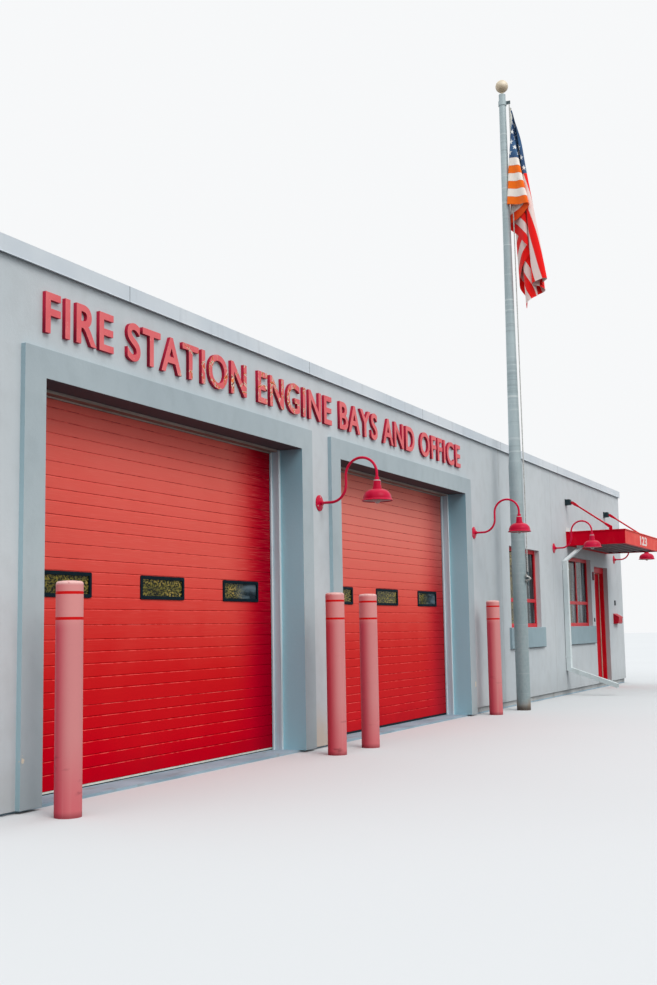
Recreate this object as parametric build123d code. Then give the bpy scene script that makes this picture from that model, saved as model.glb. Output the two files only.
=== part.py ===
from build123d import *
import math
import os

# All sizes are in millimetres. Places along the facade are measured from its left corner,
# y from the facade plane with the street at -y, and z from the level ground.

# Lengths along the facade, from its left corner to its right one
LEFT_PIER_W = 895
BAY_OPENING_W = 3830
SURROUND_SIDE_W = 220
BAY_PIER_W = 430
BAY_TO_WINDOW = 1715
WINDOW_W = 1550
WINDOW_GAP = 1740
WINDOW_TO_ENTRY = 250
ENTRY_W = 1030
ENTRY_TO_CORNER = 1230

# Building shell
DEPTH = 12200
WALL_T = 300
WALL_TOP = 3865
SLAB_TOP = 20
FOOT_INSET = 30
OFFICE_FOOT_TOP = 90
ROOF_UNDERSIDE = 3300
ROOF_T = 120

# Metal coping on the parapet
COPING_DROP = 112
COPING_T = 15
COPING_OVERHANG = 30
COPING_KICK = 8
COPING_BACK_DROP = 75

# Two vehicle bays
BAY_COUNT = 2
SURROUND_HEAD_H = 210
SURROUND_PROUD = 40
LINER_T = 20
TRIM_FRONT_Y = 210
TRIM_FACE_W = 35
TRIM_FLANGE_W = 25
TRIM_FLANGE_T = 15
HEAD_TRIM_FACE_H = 22
HEAD_TRIM_FLANGE_H = 12

# Sectional bay doors
SECTION_COUNT = 5
SECTION_H = 609.6
SECTION_T = 50
SECTION_GAP = 0.6
DOOR_BEHIND_WALL = 5
DOOR_OVERLAP = 22
DOOR_ABOVE_HEAD = 108
GROOVE_PLACES = (0.184, 0.338, 0.489, 0.655, 0.809)
GROOVE_W = 12
GROOVE_DEPTH = 5
JOINT_BEVEL = 4
SEAL_H = 25
SEAL_T = 36
SEAL_CHAMFER_W = 6
SEAL_CHAMFER_H = 8
BAY_WINDOW_COUNT = 3
BAY_WINDOW_PITCH = 1284
BAY_WINDOW_W = 642
BAY_WINDOW_H = 195
BAY_WINDOW_R = 14
BAY_PANE_R = 4
GASKET_FACE_W = 28
GASKET_LAP = 12
GASKET_PROUD = 9
PANE_SETBACK = 4
PANE_T = 6
FIT = 0.3

# Office windows, the same on the street and yard sides
WINDOW_COUNT = 2
WINDOW_SILL_Z = 1150
WINDOW_HEAD_Z = 2365
WINDOW_RECESS = 75
FRAME_DEPTH = 60
STILE_W = 60
MULLION_W = 45
TRANSOM_H = 55
TRANSOM_ABOVE_SILL = 415
PANE_RECESS = 18
PANE_STOP_W = 12
PANEL_SIDE = 100
PANEL_H = 313
PANEL_PROUD = 40
PANEL_BEVEL = 6

# Curtains behind the office windows
ROD_R = 10
ROD_BELOW_HEAD = 35
CURTAIN_Y = 215
CURTAIN_W = 520
CURTAIN_T = 12
CURTAIN_FOLDS = 6
CURTAIN_FOLD_DEPTH = 20
CURTAIN_SIDE_GAP = 25
CURTAIN_ABOVE_SILL = 50

# Entry door
ENTRY_HEAD_Z = 2260
ENTRY_SILL_Z = 125
SILL_SLOPE_W = 40
SILL_SLOPE_DROP = 13
ENTRY_FRAME_Y = 80
ENTRY_JAMB_W = 50
ENTRY_HEAD_H = 105
REBATE = 18
STOP_DEPTH = 85
LEAF_T = 45
LEAF_GAP = 6
LEAF_LATCH_GAP = 8
STRIP_W = 15
HINGE_COUNT = 3
HINGE_H = 102
HINGE_END_INSET = 180
KNUCKLE_R = 8
HINGE_PIN_R = 3.5
HINGE_PLATE_W = 24
HINGE_PLATE_T = 4
KNUCKLE_GAP = 1
LEVER_Z = 1040
LEVER_BACKSET = 70
LEVER_ROSE_R = 26
LEVER_ROSE_T = 8
LEVER_NECK_R = 10
LEVER_LENGTH = 115
LEVER_OUT = 58
LEVER_GRIP_T = 14
LOCK_ABOVE = 150
LOCK_R = 24
LOCK_T = 14
LEAF_EDGE_BEVEL = 2

# Canopy over the entry
CANOPY_PAST_WINDOW = 70
CANOPY_OUT = 1020
CANOPY_BOTTOM_Z = 2539
CHANNEL_H = 246
CHANNEL_WEB_T = 8
CHANNEL_FLANGE_W = 66
CHANNEL_FLANGE_T = 11
CANOPY_LIP = 12
CANOPY_LIP_H = 16
DECK_RIB_PITCH = 152
DECK_RIB_H = 38
DECK_RIB_TOP_W = 60
DECK_RIB_SLOPE_W = 18
DECK_T = 6
FLASHING_H = 80
FLASHING_T = 4
FLASHING_TOE = 45

# Hanger rods of the canopy
HANGER_INSET = 60
HANGER_WALL_Z = 3290
HANGER_WALL_OUT = 120
HANGER_CANOPY_OUT = 767
HANGER_ROD_R = 14
BRACKET_W = 100
BRACKET_H = 96
BRACKET_RISE = 12
BRACKET_OUT = 92
BRACKET_PLATE_T = 10
BRACKET_PLATE_LAP = 6
BRACKET_BEVEL = 8
LUG_T = 12
LUG_W = 56
LUG_HEIGHT = 48
LUG_CLEARANCE = 0.5
CLEVIS_EAR_T = 9
CLEVIS_EAR_W = 48
CLEVIS_REACH = 95
CLEVIS_FORK_LENGTH = 65
CLEVIS_SLOT_CLEARANCE = 6
CLEVIS_BRIDGE_T = 16
CLEVIS_SOCKET_DEPTH = 25
CLEVIS_SOCKET_WALL = 4
CLEVIS_PIN_R = 9
CLEVIS_PIN_HEAD_R = 14
CLEVIS_PIN_HEAD_T = 6

# Gooseneck lamps
LAMP_BESIDE_BAY = 180
LAMP_Z = 2455
LAMP_PLATE_R = 82
LAMP_PLATE_T = 18
LAMP_PLATE_RIM_T = 7
LAMP_PLATE_CROWN_R = 49
LAMP_BOSS_R = 23
LAMP_BOSS_FOOT = 23
LAMP_BOSS_OUT = 43
LAMP_COLLAR_R = 24
LAMP_COLLAR_H = 30
LAMP_TUBE_R = 13.5
LAMP_FIRST_RUN = 137
LAMP_FIRST_R = 170
LAMP_RISE = 90
LAMP_CROOK_R = 172
LAMP_NECK_TOP_R = 36
LAMP_NECK_H = 88
LAMP_NECK_FOOT_R = 45
LAMP_SHOULDER_R = 54
LAMP_SHOULDER_H = 7
LAMP_BELL_H = 112
LAMP_BELL_R = 143
LAMP_LIP_H = 16
LAMP_RIM_BELOW_PLATE = 15
LAMP_RIM_R = 155
LAMP_SHELL_T = 4
LAMP_BEAD_R = 4
BULB_R = 32
BULB_BELOW_RIM = 30
BULB_NECK_R = 16

# Rainwater pipe from the canopy
PIPE_W = 102
PIPE_D = 76
PIPE_BESIDE_CANOPY = 280
PIPE_STANDOFF = 8
PIPE_OUTLET_INSET = 160
PIPE_OUTLET_OUT = 190
PIPE_OUTLET_DROP = 50
PIPE_BEND_DROP = 280
PIPE_FOOT_Z = 450
PIPE_TOE_OUT = 850
PIPE_TOE_Z = 160
PIPE_WALL_T = 5
PIPE_OPEN_LENGTH = 150
STRAP_H = 26
STRAP_T = 3
STRAP_BELOW_BEND = 150
STRAP_ABOVE_FOOT = 190

# Fittings on the wall beside the entry
MAILBOX_PAST_ENTRY = 520
MAILBOX_W = 320
MAILBOX_D = 105
MAILBOX_Z = 1185
MAILBOX_BACK_H = 195
MAILBOX_FRONT_H = 130
MAILBOX_FOOT_D = 84
MAILBOX_FOOT_RISE = 25
MAILBOX_LID_T = 4
MAILBOX_LID_LAP = 6
MAILBOX_LID_SKIRT = 22
MAILBOX_GROOVE_COUNT = 3
MAILBOX_GROOVE_PITCH = 22
MAILBOX_GROOVE_H = 8
MAILBOX_GROOVE_DEPTH = 5
FITTING_BEVEL = 3
KEYPAD_Z = 1593
KEYPAD_SIZE = (55, 20, 98)
DOORBELL_BEFORE_ENTRY = 125
DOORBELL_Z = 1260
DOORBELL_SIZE = (28, 15, 70)
ALARM_BEFORE_ENTRY = 112
ALARM_Z = 2071
ALARM_SIZE = (76, 26, 152)

# Bollards, one at each side of each bay: how far past the opening's edge and how far from the wall
BOLLARD_OFFSETS = ((185, 410), (-95, 420), (255, 440), (365, 250))
BOLLARD_R = 90
BOLLARD_H = 1524
BOLLARD_CORNER_R = 20
BOLLARD_CROWN_H = 5

# Flagpole
POLE_PAST_BAYS = 1055
POLE_Y = -350
POLE_H = 9050
POLE_BASE_R = 97
POLE_STRAIGHT_H = 3450
POLE_SHOULDER_H = 150
POLE_SHAFT_R = 86
POLE_MIDDLE_Z = 6400
POLE_MIDDLE_R = 62
POLE_TOP_R = 50
POLE_BALL_R = 94
POLE_STEM_R = 16
POLE_STEM_H = 36
TRUCK_BELOW_TOP = 140
TRUCK_R = 60
TRUCK_H = 70
PULLEY_W = 14
PULLEY_H = 49
PULLEY_PAST_ROPE = 16
HALYARD_R = 4
HALYARD_TOP_OUT = 104
HALYARD_GAP = 26
CLEAT_Z = 1840
CLEAT_OUT = 126
CLEAT_H = 190
CLEAT_POST_R = 9
CLEAT_HORN_R = 11

# Flag, hanging limp from the halyard
FLAG_BELOW_TRUCK = 50
FLAG_TURN = -73
FLAG_T = 150
FLAG_OUTLINE = ((0, 0), (60, -210), (260, -1090), (470, -1750), (560, -2300), (520, -2650), (440, -2800),
                (220, -2780), (80, -2250), (0, -2140))

# Values that several pieces share
BAY_W = BAY_OPENING_W + 2 * SURROUND_SIDE_W
BAY_CENTRES = [LEFT_PIER_W + BAY_W / 2 + (BAY_W + BAY_PIER_W) * bay for bay in range(BAY_COUNT)]
BAYS_END = BAY_CENTRES[-1] + BAY_W / 2
BAY_HEAD_Z = SLAB_TOP + SECTION_COUNT * SECTION_H - DOOR_ABOVE_HEAD
WALL_HOLE_HALF = BAY_OPENING_W / 2 + LINER_T
DOOR_FRONT_Y = WALL_T + DOOR_BEHIND_WALL
DOOR_HALF = BAY_OPENING_W / 2 - TRIM_FACE_W - TRIM_FLANGE_W + DOOR_OVERLAP
WINDOW_FIRST_X = BAYS_END + BAY_TO_WINDOW + WINDOW_W / 2
WINDOW_PLACES = [WINDOW_FIRST_X + (WINDOW_W + WINDOW_GAP) * window for window in range(WINDOW_COUNT)]
TRANSOM_Z = WINDOW_SILL_Z + TRANSOM_ABOVE_SILL
ENTRY_LEFT = WINDOW_PLACES[-1] + WINDOW_W / 2 + WINDOW_TO_ENTRY
ENTRY_RIGHT = ENTRY_LEFT + ENTRY_W
ENTRY_X = (ENTRY_LEFT + ENTRY_RIGHT) / 2
LENGTH = ENTRY_RIGHT + ENTRY_TO_CORNER
STOP_BACK_Y = ENTRY_FRAME_Y + STOP_DEPTH
LEAF_FRONT_Y = STOP_BACK_Y + LEAF_GAP
LEAF_BACK_Y = LEAF_FRONT_Y + LEAF_T
LEAF_LEFT = ENTRY_LEFT + ENTRY_JAMB_W - REBATE + LEAF_LATCH_GAP
LEAF_RIGHT = ENTRY_RIGHT - ENTRY_JAMB_W + REBATE - LEAF_GAP
LEAF_BOTTOM_Z = ENTRY_SILL_Z + LEAF_GAP
LEAF_TOP_Z = ENTRY_HEAD_Z - ENTRY_HEAD_H + REBATE - LEAF_GAP
HINGE_X = LEAF_RIGHT + LEAF_GAP / 2
HINGE_Y = LEAF_BACK_Y + KNUCKLE_R + FIT
CANOPY_X = WINDOW_PLACES[-1] - WINDOW_W / 2 - CANOPY_PAST_WINDOW
CANOPY_W = ENTRY_RIGHT - CANOPY_X
CANOPY_TOP_Z = CANOPY_BOTTOM_Z + CHANNEL_H
DECK_BOTTOM_Z = CANOPY_BOTTOM_Z + CHANNEL_FLANGE_T
LAMP_PLACES = ((BAY_CENTRES[0] + BAY_CENTRES[-1]) / 2, BAYS_END + LAMP_BESIDE_BAY,
               (WINDOW_PLACES[0] + WINDOW_PLACES[-1]) / 2, (ENTRY_RIGHT + LENGTH) / 2)
LAMP_DROP_Y = -(LAMP_FIRST_RUN + LAMP_FIRST_R + 2 * LAMP_CROOK_R)
LAMP_RIM_Z = LAMP_Z - LAMP_RIM_BELOW_PLATE
LAMP_SHOULDER_Z = LAMP_RIM_Z + LAMP_BELL_H
LAMP_NECK_FOOT_Z = LAMP_SHOULDER_Z + LAMP_SHOULDER_H
LAMP_NECK_TOP_Z = LAMP_NECK_FOOT_Z + LAMP_NECK_H
PIPE_X = CANOPY_X - PIPE_BESIDE_CANOPY
PIPE_BEND_Z = DECK_BOTTOM_Z - PIPE_BEND_DROP
MAILBOX_X = ENTRY_RIGHT + MAILBOX_PAST_ENTRY
POLE_X = BAYS_END + POLE_PAST_BAYS
TRUCK_Z = POLE_H - TRUCK_BELOW_TOP


def corner_place(x, y, z=0):
    """The place of a point given from the left front corner of the building."""
    return Pos(x - LENGTH / 2, y - DEPTH / 2, z)


def block(x, y, z):
    """A block between a low and a high value of each coordinate."""
    spans = (x, y, z)
    middle = [(low + high) / 2 for low, high in spans]
    sides = [high - low for low, high in spans]
    return corner_place(*middle) * Box(*sides)


def front_plane(y):
    """A plane parallel to the facade: sketch x runs along it, sketch y goes up."""
    return Plane(origin=(-LENGTH / 2, y - DEPTH / 2, 0), x_dir=(1, 0, 0), z_dir=(0, -1, 0))


def end_plane(x):
    """A plane across the building: sketch x is the distance behind the facade, sketch y goes up."""
    return Plane(origin=(x - LENGTH / 2, -DEPTH / 2, 0), x_dir=(0, 1, 0), z_dir=(1, 0, 0))


def rectangle(low, high):
    """A sketch rectangle from its low corner to its high corner."""
    centre = Pos((low[0] + high[0]) / 2, (low[1] + high[1]) / 2)
    return centre * Rectangle(high[0] - low[0], high[1] - low[1])


def outline(points):
    """A sketch face inside a closed row of points."""
    return make_face(Polyline(*points, close=True))


def facing(sketch, back_y, front_y):
    """A facade sketch given thickness from back_y forward to front_y."""
    return extrude(front_plane(back_y) * sketch, back_y - front_y)


def along(sketch, start_x, end_x):
    """A cross-section run along the facade from start_x to end_x."""
    return extrude(end_plane(start_x) * sketch, end_x - start_x)


def on_yard_side(shape):
    """The same piece on the opposite, yard side of the building."""
    return mirror(shape, about=Plane.XZ)


def save(name, *solids):
    """Write one named piece, which may be several solids that stand apart."""
    shape = solids[0] if len(solids) == 1 else Compound(children=list(solids))
    export_step(shape, f"parts/{name}.step")


def floor_slab():
    inset = FOOT_INSET
    return block((inset, LENGTH - inset), (inset, DEPTH - inset), (0, SLAB_TOP))


def office_left():
    """Where the office part of the front wall starts, at the last bay's opening."""
    return BAY_CENTRES[-1] + WALL_HOLE_HALF


def front_foundation():
    return block((office_left(), LENGTH - FOOT_INSET), (FOOT_INSET, WALL_T), (SLAB_TOP, OFFICE_FOOT_TOP))


def right_foundation():
    ends = (WALL_T, DEPTH - FOOT_INSET)
    return block((LENGTH - WALL_T, LENGTH - FOOT_INSET), ends, (SLAB_TOP, OFFICE_FOOT_TOP))


def bay_piers():
    """The corner pier and the pier between the two bays."""
    first, second = BAY_CENTRES
    left = block((0, first - WALL_HOLE_HALF), (0, WALL_T), (SLAB_TOP, WALL_TOP))
    centre = block((first + WALL_HOLE_HALF, second - WALL_HOLE_HALF), (0, WALL_T), (SLAB_TOP, WALL_TOP))
    return left, centre


def wall_over_bays():
    level = (BAY_HEAD_Z + LINER_T, WALL_TOP)
    return [block((x - WALL_HOLE_HALF, x + WALL_HOLE_HALF), (0, WALL_T), level) for x in BAY_CENTRES]


def window_hole(x):
    return rectangle((x - WINDOW_W / 2, WINDOW_SILL_Z), (x + WINDOW_W / 2, WINDOW_HEAD_Z))


def office_wall():
    face = rectangle((office_left(), OFFICE_FOOT_TOP), (ENTRY_LEFT, WALL_TOP))
    for x in WINDOW_PLACES:
        face -= window_hole(x)
    return facing(face, WALL_T, 0)


def back_wall():
    face = rectangle((0, SLAB_TOP), (LENGTH - WALL_T, WALL_TOP))
    for x in WINDOW_PLACES:
        face -= window_hole(x)
    return facing(face, DEPTH, DEPTH - WALL_T)


def wall_over_entry():
    return block((ENTRY_LEFT, ENTRY_RIGHT), (0, WALL_T), (ENTRY_HEAD_Z, WALL_TOP))


def front_right_pier():
    return block((ENTRY_RIGHT, LENGTH), (0, WALL_T), (OFFICE_FOOT_TOP, WALL_TOP))


def left_wall():
    return block((0, WALL_T), (WALL_T, DEPTH - WALL_T), (SLAB_TOP, WALL_TOP))


def right_wall():
    return block((LENGTH - WALL_T, LENGTH), (WALL_T, DEPTH), (OFFICE_FOOT_TOP, WALL_TOP))


def roof_deck():
    inside_y = (WALL_T, DEPTH - WALL_T)
    return block((WALL_T, LENGTH - WALL_T), inside_y, (ROOF_UNDERSIDE, ROOF_UNDERSIDE + ROOF_T))


def coping_section():
    """The folded cap over the wall head: y goes inward from the wall's outer face."""
    out = -COPING_OVERHANG
    back = WALL_T + COPING_OVERHANG
    bottom = WALL_TOP - COPING_DROP
    top = WALL_TOP + COPING_T
    back_bottom = WALL_TOP - COPING_BACK_DROP
    return outline([
        (out, top), (out, bottom + COPING_KICK), (out - COPING_KICK, bottom),
        (out - COPING_KICK + COPING_T, bottom), (out + COPING_T, bottom + COPING_KICK),
        (out + COPING_T, WALL_TOP), (back - COPING_T, WALL_TOP), (back - COPING_T, back_bottom),
        (back, back_bottom), (back, top)])


def coping_run(run):
    """One side of the coping with mitred ends, its outer face towards -y, from (0, 0) along +x."""
    reach = COPING_OVERHANG + COPING_KICK
    back = WALL_T + COPING_OVERHANG
    bar = extrude(Plane(origin=(-reach, 0, 0), x_dir=(0, 1, 0), z_dir=(1, 0, 0)) * coping_section(),
                  run + 2 * reach)
    plan = outline([(-reach, -reach), (run + reach, -reach), (run - back, back), (back, back)])
    return bar & extrude(plan, 2 * WALL_TOP)


def coping_runs():
    """Front, right, back and left coping."""
    front = corner_place(0, 0) * coping_run(LENGTH)
    right = corner_place(LENGTH, 0) * Rot(0, 0, 90) * coping_run(DEPTH)
    back = corner_place(LENGTH, DEPTH) * Rot(0, 0, 180) * coping_run(LENGTH)
    left = corner_place(0, DEPTH) * Rot(0, 0, 270) * coping_run(DEPTH)
    return front, right, back, left


def arch(x, half, head, width, head_h, foot):
    """A three-sided frame around an opening, open at its foot."""
    outside = rectangle((x - half - width, foot), (x + half + width, head + head_h))
    return outside - rectangle((x - half, foot - 1), (x + half, head))


def bay_surround(x):
    """The raised band around a bay, which turns in along the sides and head of its opening."""
    half = BAY_OPENING_W / 2
    band = arch(x, half, BAY_HEAD_Z, SURROUND_SIDE_W, SURROUND_HEAD_H, SLAB_TOP)
    liner = arch(x, half, BAY_HEAD_Z, LINER_T, LINER_T, SLAB_TOP)
    return facing(band, 0, -SURROUND_PROUD) + facing(liner, TRIM_FRONT_Y, 0)


def trim_section(face, flange):
    """The stepped stop around a bay door: a face towards the street, then a flange behind it."""
    back = WALL_T
    return outline([(0, TRIM_FRONT_Y), (face, TRIM_FRONT_Y), (face, back - TRIM_FLANGE_T),
                    (face + flange, back - TRIM_FLANGE_T), (face + flange, back), (-LINER_T, back),
                    (-LINER_T, TRIM_FRONT_Y + FIT), (0, TRIM_FRONT_Y + FIT)])


def bay_jamb_trims(x):
    """The left and right stops of one bay door."""
    section = trim_section(TRIM_FACE_W, TRIM_FLANGE_W)
    foot = corner_place(x - BAY_OPENING_W / 2, 0, SLAB_TOP)
    left = foot * extrude(section, BAY_HEAD_Z + LINER_T - SLAB_TOP)
    return left, mirror(left, about=Plane.YZ.offset(x - LENGTH / 2))


def bay_head_trim(x):
    """The stop along the head, between the two side stops."""
    low = BAY_HEAD_Z - HEAD_TRIM_FACE_H
    foot = low - HEAD_TRIM_FLANGE_H
    top = BAY_HEAD_Z + LINER_T
    back = WALL_T
    flange_front = back - TRIM_FLANGE_T
    section = outline([(TRIM_FRONT_Y, BAY_HEAD_Z), (TRIM_FRONT_Y, low), (flange_front, low),
                       (flange_front, foot), (back, foot), (back, top),
                       (TRIM_FRONT_Y + FIT, top), (TRIM_FRONT_Y + FIT, BAY_HEAD_Z)])
    half = BAY_OPENING_W / 2 - TRIM_FACE_W - TRIM_FLANGE_W
    return along(section, x - half, x + half)


def section_profile(low, high):
    """The side profile of one door section, with shallow grooves across its outer face."""
    front = DOOR_FRONT_Y
    points = [(front + JOINT_BEVEL, low), (front, low + JOINT_BEVEL)]
    for share in reversed(GROOVE_PLACES):
        middle = low + SECTION_H * (1 - share)
        points += [(front, middle - GROOVE_W / 2), (front + GROOVE_DEPTH, middle - GROOVE_W / 6),
                   (front + GROOVE_DEPTH, middle + GROOVE_W / 6), (front, middle + GROOVE_W / 2)]
    points += [(front, high - JOINT_BEVEL), (front + JOINT_BEVEL, high), (front + SECTION_T, high),
               (front + SECTION_T, low)]
    return outline(points)


def bay_window_centres(x):
    middle = (BAY_WINDOW_COUNT - 1) / 2
    return [x + (place - middle) * BAY_WINDOW_PITCH for place in range(BAY_WINDOW_COUNT)]


def rounded(x, inset):
    """The outline of a bay door window, smaller all round by inset, at the door's middle height."""
    size = (BAY_WINDOW_W - 2 * inset, BAY_WINDOW_H - 2 * inset)
    middle_z = SLAB_TOP + SECTION_COUNT * SECTION_H / 2
    return Pos(x, middle_z) * RectangleRounded(*size, max(BAY_WINDOW_R - inset, BAY_PANE_R))


def bay_door(x):
    """The sections of one bay door, from the bottom up, with windows in the middle one."""
    sections = []
    for number in range(SECTION_COUNT):
        low = SLAB_TOP + SECTION_H * number + (SEAL_H if number == 0 else SECTION_GAP)
        high = SLAB_TOP + SECTION_H * (number + 1)
        section = along(section_profile(low, high), x - DOOR_HALF, x + DOOR_HALF)
        if number == SECTION_COUNT // 2:
            for centre in bay_window_centres(x):
                hole = rounded(centre, GASKET_LAP)
                section -= facing(hole, DOOR_FRONT_Y + 2 * SECTION_T, DOOR_FRONT_Y - SECTION_T)
        sections.append(section)
    return sections


def bay_gasket(x):
    """The rubber frame of one door window, lapping both faces of the door."""
    front = DOOR_FRONT_Y
    back = front + SECTION_T
    flange = rounded(x, 0) - rounded(x, GASKET_FACE_W)
    neck = rounded(x, GASKET_LAP + FIT) - rounded(x, GASKET_FACE_W)
    ring = facing(flange, front, front - GASKET_PROUD) + facing(flange, back + GASKET_PROUD, back)
    return ring + facing(neck, back, front)


def bay_pane(x):
    front = DOOR_FRONT_Y + PANE_SETBACK
    return facing(rounded(x, GASKET_FACE_W + FIT), front + PANE_T, front)


def bay_seal(x):
    """The rubber strip under a bay door, which stands on the floor."""
    middle = DOOR_FRONT_Y + SECTION_T / 2
    low = SLAB_TOP
    half = SEAL_T / 2
    foot_half = half - SEAL_CHAMFER_W
    section = outline([(middle - foot_half, low), (middle + foot_half, low),
                       (middle + half, low + SEAL_CHAMFER_H), (middle + half, low + SEAL_H),
                       (middle - half, low + SEAL_H), (middle - half, low + SEAL_CHAMFER_H)])
    return along(section, x - DOOR_HALF, x + DOOR_HALF)


def window_lights(x):
    """The low and high corners of the four panes in an office window."""
    left, right = x - WINDOW_W / 2, x + WINDOW_W / 2
    columns = ((left + STILE_W, x - MULLION_W / 2), (x + MULLION_W / 2, right - STILE_W))
    rows = ((WINDOW_SILL_Z + STILE_W, TRANSOM_Z - TRANSOM_H / 2),
            (TRANSOM_Z + TRANSOM_H / 2, WINDOW_HEAD_Z - STILE_W))
    return [((a, low), (b, high)) for a, b in columns for low, high in rows]


def window_frame(x):
    """Stiles, mullion and transom, with a stop behind each pane."""
    face = window_hole(x)
    stops = window_hole(x)
    lap = PANE_STOP_W
    for low, high in window_lights(x):
        face -= rectangle(low, high)
        stops -= rectangle((low[0] + lap, low[1] + lap), (high[0] - lap, high[1] - lap))
    back = WINDOW_RECESS + FRAME_DEPTH
    return facing(face, back, WINDOW_RECESS) + facing(stops, back, WINDOW_RECESS + PANE_RECESS + PANE_T + FIT)


def window_panes(x):
    """The four panes of one window, each in its own light."""
    front = WINDOW_RECESS + PANE_RECESS
    panes = []
    for low, high in window_lights(x):
        face = rectangle((low[0] + FIT, low[1] + FIT), (high[0] - FIT, high[1] - FIT))
        panes.append(facing(face, front + PANE_T, front))
    return panes


def sill_panel(x):
    """The raised panel below a window, bevelled along its front edges."""
    half = WINDOW_W / 2 + PANEL_SIDE
    face = rectangle((x - half, WINDOW_SILL_Z - PANEL_H), (x + half, WINDOW_SILL_Z))
    panel = facing(face, 0, -PANEL_PROUD)
    return chamfer(panel.faces().sort_by(Axis.Y)[0].edges(), PANEL_BEVEL)


def curtain_rod(x):
    z = WINDOW_HEAD_Z - ROD_BELOW_HEAD
    ends = (x - WINDOW_W / 2, x + WINDOW_W / 2)
    return along(Pos(CURTAIN_Y, z) * Circle(ROD_R), *ends)


def curtain_face(start, side, shift):
    """The arcs along one face of a curtain, which lies shift from the middle of the cloth."""
    half_fold = CURTAIN_W / (2 * CURTAIN_FOLDS)
    slope = 2 * math.atan(2 * CURTAIN_FOLD_DEPTH / half_fold)

    def crossing(step):
        turn = slope * (-1) ** step
        along_x = step * half_fold - shift * math.sin(turn)
        return (start - side * along_x, CURTAIN_Y + shift * math.cos(turn))

    arcs = []
    for step in range(2 * CURTAIN_FOLDS):
        crest = (start - side * (step + 0.5) * half_fold,
                 CURTAIN_Y + CURTAIN_FOLD_DEPTH * (-1) ** step + shift)
        arcs.append(ThreePointArc(crossing(step), crest, crossing(step + 1)))
    return arcs


def curtain(x, side):
    """One curtain, drawn to the left (-1) or right (+1) of its window, in even round folds."""
    start = x + side * (WINDOW_W / 2 - CURTAIN_SIDE_GAP)
    front = curtain_face(start, side, -CURTAIN_T / 2)
    back = curtain_face(start, side, CURTAIN_T / 2)
    ends = [Line(front[0] @ 0, back[0] @ 0), Line(front[-1] @ 1, back[-1] @ 1)]
    top = WINDOW_HEAD_Z - ROD_BELOW_HEAD - ROD_R - FIT
    foot = WINDOW_SILL_Z + CURTAIN_ABOVE_SILL
    return corner_place(0, 0, foot) * extrude(make_face([*front, *back, *ends]), top - foot)


def entry_sill():
    """The raised sill under the entry, sloped at its outer edge."""
    low = OFFICE_FOOT_TOP
    section = outline([(0, low), (WALL_T, low), (WALL_T, ENTRY_SILL_Z), (SILL_SLOPE_W, ENTRY_SILL_Z),
                       (0, ENTRY_SILL_Z - SILL_SLOPE_DROP)])
    return along(section, ENTRY_LEFT, ENTRY_RIGHT)


def entry_frame():
    """Jambs and head, with a deep outer stop and a rebate for the leaf behind it."""
    half = ENTRY_W / 2
    stop = arch(ENTRY_X, half - ENTRY_JAMB_W, ENTRY_HEAD_Z - ENTRY_HEAD_H, ENTRY_JAMB_W, ENTRY_HEAD_H,
                ENTRY_SILL_Z)
    thin = ENTRY_JAMB_W - REBATE
    thin_head = ENTRY_HEAD_H - REBATE
    rebate = arch(ENTRY_X, half - thin, ENTRY_HEAD_Z - thin_head, thin, thin_head, ENTRY_SILL_Z)
    return facing(stop, STOP_BACK_Y, ENTRY_FRAME_Y) + facing(rebate, LEAF_BACK_Y, STOP_BACK_Y)


def entry_weatherstrip():
    """The pale strip along the inner edge of the stop."""
    half = ENTRY_W / 2 - ENTRY_JAMB_W - STRIP_W / 2
    strip = arch(ENTRY_X, half, ENTRY_HEAD_Z - ENTRY_HEAD_H - STRIP_W / 2, STRIP_W / 2, STRIP_W / 2,
                 ENTRY_SILL_Z)
    return facing(strip, STOP_BACK_Y, STOP_BACK_Y - STRIP_W)


def entry_door_leaf():
    """A flush steel leaf, slightly rounded at its upright edges."""
    face = rectangle((LEAF_LEFT, LEAF_BOTTOM_Z), (LEAF_RIGHT, LEAF_TOP_Z))
    leaf = facing(face, LEAF_BACK_Y, LEAF_FRONT_Y)
    return chamfer(leaf.edges().filter_by(Axis.Z), LEAF_EDGE_BEVEL)


def entry_door_lever():
    """A lever handle on each face of the leaf, with the lock's round cover above it."""
    x = LEAF_LEFT + LEVER_BACKSET
    pieces = []
    for face_y, out in ((LEAF_FRONT_Y, -1), (LEAF_BACK_Y, 1)):
        rose = Pos(x, LEVER_Z) * Circle(LEVER_ROSE_R)
        neck = Pos(x, LEVER_Z) * Circle(LEVER_NECK_R)
        tip_x = x + LEVER_LENGTH - LEVER_NECK_R
        grip = rectangle((x, LEVER_Z - LEVER_NECK_R), (tip_x, LEVER_Z + LEVER_NECK_R))
        grip += [Pos(end_x, LEVER_Z) * Circle(LEVER_NECK_R) for end_x in (x, tip_x)]
        cover = Pos(x, LEVER_Z + LOCK_ABOVE) * Circle(LOCK_R)
        edge = face_y + out * LEVER_OUT
        lever = standing_off(rose, face_y, out, LEVER_ROSE_T) + standing_off(neck, face_y, out, LEVER_OUT)
        lever += standing_off(grip, edge - out * LEVER_GRIP_T, out, LEVER_GRIP_T)
        pieces += [lever, standing_off(cover, face_y, out, LOCK_T)]
    return pieces


def standing_off(sketch, face_y, out, height):
    """A facade sketch raised from face_y towards the street (-1) or the inside (+1)."""
    return facing(sketch, max(face_y, face_y + out * height), min(face_y, face_y + out * height))


def hinge_levels():
    """The middle height of each hinge, the end ones set in from the leaf's ends."""
    low = LEAF_BOTTOM_Z + HINGE_END_INSET
    high = LEAF_TOP_Z - HINGE_END_INSET
    return [low + (high - low) * number / (HINGE_COUNT - 1) for number in range(HINGE_COUNT)]


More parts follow.
